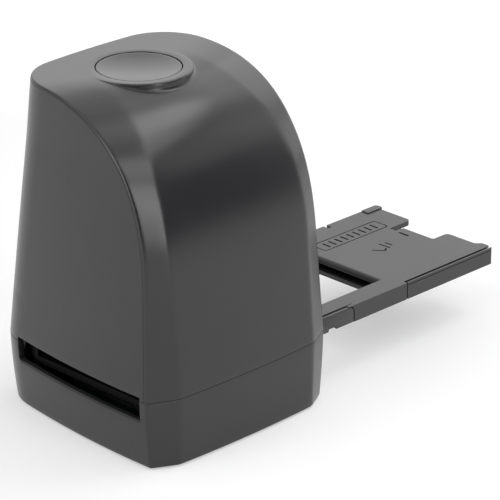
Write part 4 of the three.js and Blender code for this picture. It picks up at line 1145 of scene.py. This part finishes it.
# %% [markdown]
# ### Tray frame
# The lower half holds the slide in a channel. Its front wall stands up to the lid, and the strip
# at its back edge covers the hinge pins at both ends. It is one plan carried up and then milled
# away by boxes, because its steps are all level and upright, as in a simple mould.

# %% Tray frame
def build_frame():
    right = TRAY_MIDDLE + TRAY_HALF_LENGTH
    lug, strip_end, notch = right - 1.8, right - 0.5, right - 9.5
    plan = both_ends([
        (right, -TRAY_HALF, 0.9), (right, -25.3, 1.2), (lug, -25.0, 0), (lug, -8.2, 1.6),
        (notch, -8.2, 1.2), (notch, 10.0, 1.2), (lug, 10.0, 1.8), (lug, 25.3, 0),
        (strip_end, 25.3, 0.8), (strip_end, TRAY_HALF, 1.6)])
    frame_obj = prism("tray_body", plan, (TRAY_BOTTOM, STRIP_TOP), tray_abs)
    span = (TRAY_MIDDLE - 90, TRAY_MIDDLE + 90)
    tools = tray_cut_tools() + [
        tray_box("lip_top", span, (-40, LIP_BACK), (TRAY_TOP, 30)),
        tray_box("channel", span, (-SLIDE_HALF, SLIDE_HALF), (CHANNEL_BOTTOM, 30)),
        tray_box("seat", span, (LIP_BACK, SLIDE_HALF), (SEAT_LEVEL, 30)),
        tray_box("gap_floor", (93.4, right + 1), (LIP_BACK, GAP_BACK), (20.4, 30)),
        tray_box("strip", (2.8, 129.4), (0, 40), (SEAT_LEVEL, 30)),
        tray_box("clip", (40.4, 92.3), (-40, -27.0), THROUGH),
    ]
    for tool in tools:
        cut(frame_obj, tool)
    merge_and_face_out(frame_obj)
    round_edges(frame_obj, 0.16, angle=35)
    for xs in ends((92.6, right + 1)):
        cut(frame_obj, tray_box("bead", xs, (-40, -TRAY_HALF + 0.3), (23.1, 23.4)))
    keep_flats_flat(frame_obj)
    return frame_obj


# %% [markdown]
# ### Tray lid
# The upper half folds down on the slide. Its window's edge is rolled outwards, a skirt beside
# the clip carries the front wall, and a slit and a pocket leave a springy finger at each end.
# The wide roll is cut by a stack of growing plans, since a bevel would round all edges alike.

# %% Tray lid
def side_plate(name, outline_xz, ys):
    """An outline in front view, carried back from ys[0] to ys[1]."""
    n = len(outline_xz)
    verts = [(x, y, z) for y in ys for x, z in outline_xz]
    faces = [tuple(range(n)), tuple(reversed(range(n, 2 * n)))]
    faces += [(i, n + i, n + (i + 1) % n, (i + 1) % n) for i in range(n)]
    plate = mesh_object(name, verts, faces, tray_abs, smooth=False)
    merge_and_face_out(plate)
    return plate


def build_lid():
    right = TRAY_MIDDLE + TRAY_HALF_LENGTH
    lug, tab, notch = right - 1.8, right + 0.3, right - 9.5
    plan = both_ends([
        (tab, -26.95, 0.9), (tab, -23.2, 1.2), (lug, -21.9, 1.4), (lug, -8.2, 1.8),
        (notch, -8.2, 1.2), (notch, 10.0, 0), (lug, 10.0, 1.8), (lug, 25.2, 0.5),
        (129.3, 25.2, 0), (129.3, TRAY_HALF, 0.6)])
    lid = prism("tray_cover", plan, (LID_BOTTOM, TRAY_TOP), tray_abs)
    about_clip = [tuple(p) for p in bezier(np.array([61.7, TRAY_TOP]), np.array([64.65, TRAY_TOP]),
                                           np.array([64.65, 21.3]), 7)]
    skirt = side_plate("skirt", [(64.65, TRAY_BOTTOM), (91.8, TRAY_BOTTOM), (91.8, TRAY_TOP)]
                       + about_clip, (-TRAY_HALF, WALL_BACK))
    tongue = tray_box("tongue", (64.7, 91.8), (-28.0, -24.0), (LID_BOTTOM, TRAY_TOP))
    for piece in (skirt, tongue):
        combine(lid, piece, "UNION")
    cut(lid, tray_box("undercut", (92.6, right + 2), (-40, GAP_BACK), (10, 23.6)))
    pockets = [tray_box("pocket", xs, (6.6, 10.0), THROUGH) for xs in ends((124.6, 130.0))]
    slits = [tray_box("slit", xs, (0.2, 5.0), THROUGH) for xs in ends((123.7, 124.7))]
    for tool in tray_cut_tools() + pockets + slits:
        cut(lid, tool)
    merge_and_face_out(lid)
    round_edges(lid, 0.2, angle=35)
    cut(lid, window_rounding())
    mark_lid(lid)
    keep_flats_flat(lid)
    return lid


# %% [markdown]
# ### Marks on the lid
# A rounded box with a row of plain bars, and four plain strokes, sunk into the lid at both ends.
# They are real grooves and not a bump, so they also show in the exported mesh. They are cut
# deeper than in a real mould, because a groove of 0.2 mm can't be seen at this distance.

# %% Marks on the lid
MARK_BOX_X, MARK_BOX_Y = (92.3, 126.0), (11.7, 19.2)
BAR_COUNT, BAR_WIDTH, BAR_MARGIN, BAR_INSET = 9, 0.85, 4.2, 1.7
STROKE_WIDTH, GROOVE_DEPTH = 0.65, 0.6
MARK_STROKES = [((104.9, 0.6), (108.0, -3.3)), ((108.0, -3.3), (109.7, -1.8)),
                ((110.9, 2.7), (111.2, -2.5)), ((113.4, 2.1), (113.6, -1.4))]


def mark_lid(lid):
    """A rounded box with a row of plain bars, and four plain strokes, all shallow grooves."""
    line, depth = 0.45, 0.5
    for x_range in ends(MARK_BOX_X):
        x0, x1 = x_range
        y0, y1 = MARK_BOX_Y
        outer = rounded_plan(box_points((x0, x1), (y0, y1)), [1.6] * 4)
        inner = rounded_plan(box_points((x0 + line, x1 - line), (y0 + line, y1 - line)), [1.4] * 4)
        n = len(outer)
        verts = [(x, y, z) for z in (TRAY_TOP - depth, TRAY_TOP + 1) for x, y in outer + inner]
        faces = []
        for i in range(n):
            j = (i + 1) % n
            a, b, c, d = i, j, 2 * n + j, 2 * n + i
            faces += [(a, b, c, d), (n + j, n + i, 3 * n + i, 3 * n + j)]
            faces += [(n + i, n + j, j, i), (2 * n + i, 2 * n + j, 3 * n + j, 3 * n + i)]
        cut(lid, mesh_object("groove", verts, faces, tray_abs, smooth=False))
        for k in range(BAR_COUNT):
            bar = x0 + BAR_MARGIN + k * (x1 - x0 - 2 * BAR_MARGIN) / (BAR_COUNT - 1)
            line_in_plan = stroke((bar, y0 + BAR_INSET), (bar, y1 - BAR_INSET), BAR_WIDTH)
            engrave(lid, line_in_plan, GROOVE_DEPTH, TRAY_TOP)
    for sign in (1, -1):
        for a, b in MARK_STROKES:
            flip = lambda p: (p[0] if sign > 0 else 2 * TRAY_MIDDLE - p[0], p[1])
            engrave(lid, stroke(flip(a), flip(b), STROKE_WIDTH), GROOVE_DEPTH, TRAY_TOP)


# %% [markdown]
# ### Tray latch
# The clip in the front wall holds the lid shut. A small notch in its lower edge takes a finger
# nail. It is drawn in front view, because all its curves lie in that view.

# %% Tray latch
CLIP_TOP = 23.9


def build_latch():
    outline_xz = [(40.75, 17.8), (51.6, 17.8), (51.9, 18.7), (52.6, 19.2), (53.6, 19.4),
                  (54.6, 19.2), (55.3, 18.7), (55.6, 17.8), (64.35, 17.8)]
    outline_xz += [tuple(p) for p in bezier(np.array([64.35, 21.3]), np.array([64.35, CLIP_TOP]),
                                            np.array([61.7, CLIP_TOP]), 7)]
    outline_xz.append((40.75, CLIP_TOP))
    latch = side_plate("tray_clip", outline_xz, (-TRAY_HALF, WALL_BACK))
    round_edges(latch, 0.25, angle=35)
    return latch


for made, name in ((build_frame(), "tray_frame"), (build_lid(), "tray_lid"),
                   (build_latch(), "tray_latch")):
    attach(made, "tray")
    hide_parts(name)
    print(name, len(made.data.polygons), "faces")

# %% [markdown]
# ## Light
# The photo is a studio shot on white, and the satin plastic mirrors its lights. Each softbox
# stands in the direction that some part of the body mirrors to the camera: three strips in front
# show in the left chamfer, the high group makes the soft band across the crown, and the boxes at
# the sides and behind light the sides, the roof and the right chamfer.

# %% Lamps
LAMP_DISTANCE, LAMP_AIM = 900, Vector((0, 0, 60))


def lamp_at(name, azimuth, elevation, size, strength):
    """A softbox in a direction given in degrees from +X and upwards, facing the object."""
    turn, lift = math.radians(azimuth), math.radians(elevation)
    way = Vector((math.cos(lift) * math.cos(turn), math.cos(lift) * math.sin(turn), math.sin(lift)))
    data = bpy.data.lights.new(name, "AREA")
    data.shape = "RECTANGLE"
    data.size, data.size_y = size[0] * MM, size[1] * MM
    data.energy = strength
    lamp = bpy.data.objects.new(name, data)
    bpy.context.scene.collection.objects.link(lamp)
    lamp.location = (way * LAMP_DISTANCE + LAMP_AIM) * MM
    lamp.rotation_euler = (LAMP_AIM * MM - lamp.location).to_track_quat("-Z", "Y").to_euler()


LAMPS = [
    ("front_strip_low", -93, 10, (260, 300), 1.0),
    ("front_strip_middle", -92, 28, (260, 300), 1.2),
    ("front_strip_high", -80, 48, (300, 260), 0.85),
    ("crown_fade", -44, 33, (220, 200), 0.11),
    ("high_front_left", -45, 54, (300, 280), 0.66),
    ("high_front_middle", -14, 57, (280, 290), 0.94),
    ("high_front_right", 15, 52, (300, 300), 0.15),
    ("top_softbox", -60, 80, (500, 400), 0.6),
    ("right_softbox", 12, 30, (460, 420), 0.6),
    ("right_front_fill", -25, 25, (300, 420), 0.32),
    ("right_low_fill", 4, 8, (500, 260), 0.30),
    ("back_softbox", 45, 24, (500, 420), 0.4),
    ("left_softbox", 170, 12, (420, 340), 2.6),
    ("left_high_softbox", 150, 50, (500, 400), 1.5),
    ("left_front_high_softbox", -150, 50, (500, 400), 1.1),
]
for lamp in LAMPS:
    lamp_at(*lamp)
print("lamps:", [lamp[0] for lamp in LAMPS])

# %% [markdown]
# ## The white wall
# To the camera the world is plain white. To all other rays it is a wall that is bright behind
# the object and dark in front of it, a little weaker for soft light than for mirrored light.

# %% World
WALL_BEHIND = (0.64, 0.77, 0.0)
WALL_FADE = (-0.2, 0.6)
WALL_FRONT_LIGHT, WALL_BACK_LIGHT, WALL_SOFT_SHARE = 0.0, 1.0, 0.64


def mirrored(tree, path):
    """1 for rays that come by a reflection or through glass."""
    return node(tree, "ShaderNodeMath", {"operation": "MAXIMUM"}, i0=path.outputs["Is Glossy Ray"],
                i1=path.outputs["Is Transmission Ray"]).outputs[0]


scene = bpy.context.scene
scene.view_settings.view_transform = "Standard"
world = bpy.data.worlds.new("studio")
scene.world = world
world.use_nodes = True
world_tree = world.node_tree
world_tree.nodes.clear()
light_path = node(world_tree, "ShaderNodeLightPath")
toward = node(world_tree, "ShaderNodeTexCoord").outputs["Generated"]
behind = node(world_tree, "ShaderNodeVectorMath", {"operation": "DOT_PRODUCT"}, i0=toward,
              i1=WALL_BEHIND)
wall_light = node(world_tree, "ShaderNodeMapRange", Value=behind.outputs["Value"],
                  From_Min=WALL_FADE[0], From_Max=WALL_FADE[1], To_Min=WALL_FRONT_LIGHT,
                  To_Max=WALL_BACK_LIGHT)
wall_strength = node(world_tree, "ShaderNodeMapRange", Value=mirrored(world_tree, light_path),
                     To_Min=WALL_SOFT_SHARE, To_Max=1.0)
ambient = node(world_tree, "ShaderNodeBackground", Color=wall_light.outputs["Result"],
               Strength=wall_strength.outputs["Result"])
white_wall = node(world_tree, "ShaderNodeBackground", Color=(1, 1, 1, 1), Strength=1.0)
seen = node(world_tree, "ShaderNodeMixShader", i0=light_path.outputs["Is Camera Ray"],
            i1=ambient.outputs[0], i2=white_wall.outputs[0])
world_out = world_tree.nodes.new("ShaderNodeOutputWorld")
world_tree.links.new(seen.outputs[0], world_out.inputs["Surface"])
print("wall: bright towards", WALL_BEHIND)

# %% [markdown]
# ## Floor
# Pale paper that keeps the shadow. A glow lifts it towards white for the camera and in
# reflections only, so it puts no more light on the object, and far from the object the camera
# sees it fade to full white.

# %% Floor
FLOOR_SIZE = 6.0
FLOOR_LIFT = 0.42
FLOOR_FADE = (0.28, 0.7)


def floor_material():
    material, tree = new_material("pale_paper_floor")
    place = node(tree, "ShaderNodeTexCoord").outputs["Object"]
    fibre = node(tree, "ShaderNodeTexNoise", Vector=place, Scale=1 / (3.0 * MM), Detail=2.0)
    tone = node(tree, "ShaderNodeMapRange", Value=fibre.outputs["Fac"], To_Min=0.62, To_Max=0.66)
    paper = node(tree, "ShaderNodeBsdfDiffuse", Color=tone.outputs["Result"])
    path = node(tree, "ShaderNodeLightPath")
    shown = node(tree, "ShaderNodeMath", {"operation": "MAXIMUM"},
                 i0=path.outputs["Is Camera Ray"], i1=mirrored(tree, path))
    near_lift = node(tree, "ShaderNodeMath", {"operation": "MULTIPLY"}, i0=shown.outputs[0],
                     i1=FLOOR_LIFT)
    reach = node(tree, "ShaderNodeVectorMath", {"operation": "LENGTH"}, i0=place)
    far = node(tree, "ShaderNodeMapRange", Value=reach.outputs["Value"], From_Min=FLOOR_FADE[0],
               From_Max=FLOOR_FADE[1])
    far_seen = node(tree, "ShaderNodeMath", {"operation": "MULTIPLY"}, i0=far.outputs["Result"],
                    i1=path.outputs["Is Camera Ray"])
    lift = node(tree, "ShaderNodeMath", {"operation": "MULTIPLY_ADD"}, i0=far_seen.outputs[0],
                i1=1 - FLOOR_LIFT, i2=near_lift.outputs[0])
    glow = node(tree, "ShaderNodeEmission", Color=(1, 1, 1, 1), Strength=lift.outputs[0])
    both = node(tree, "ShaderNodeAddShader", i0=paper.outputs["BSDF"], i1=glow.outputs[0])
    finish_material(tree, both.outputs[0])
    return material


paper = floor_material()
bpy.ops.mesh.primitive_plane_add(size=FLOOR_SIZE, location=(0, 0, 0))
ground = bpy.context.active_object
ground.name = "ground"
ground.data.materials.append(paper)
print("floor:", ground.name)
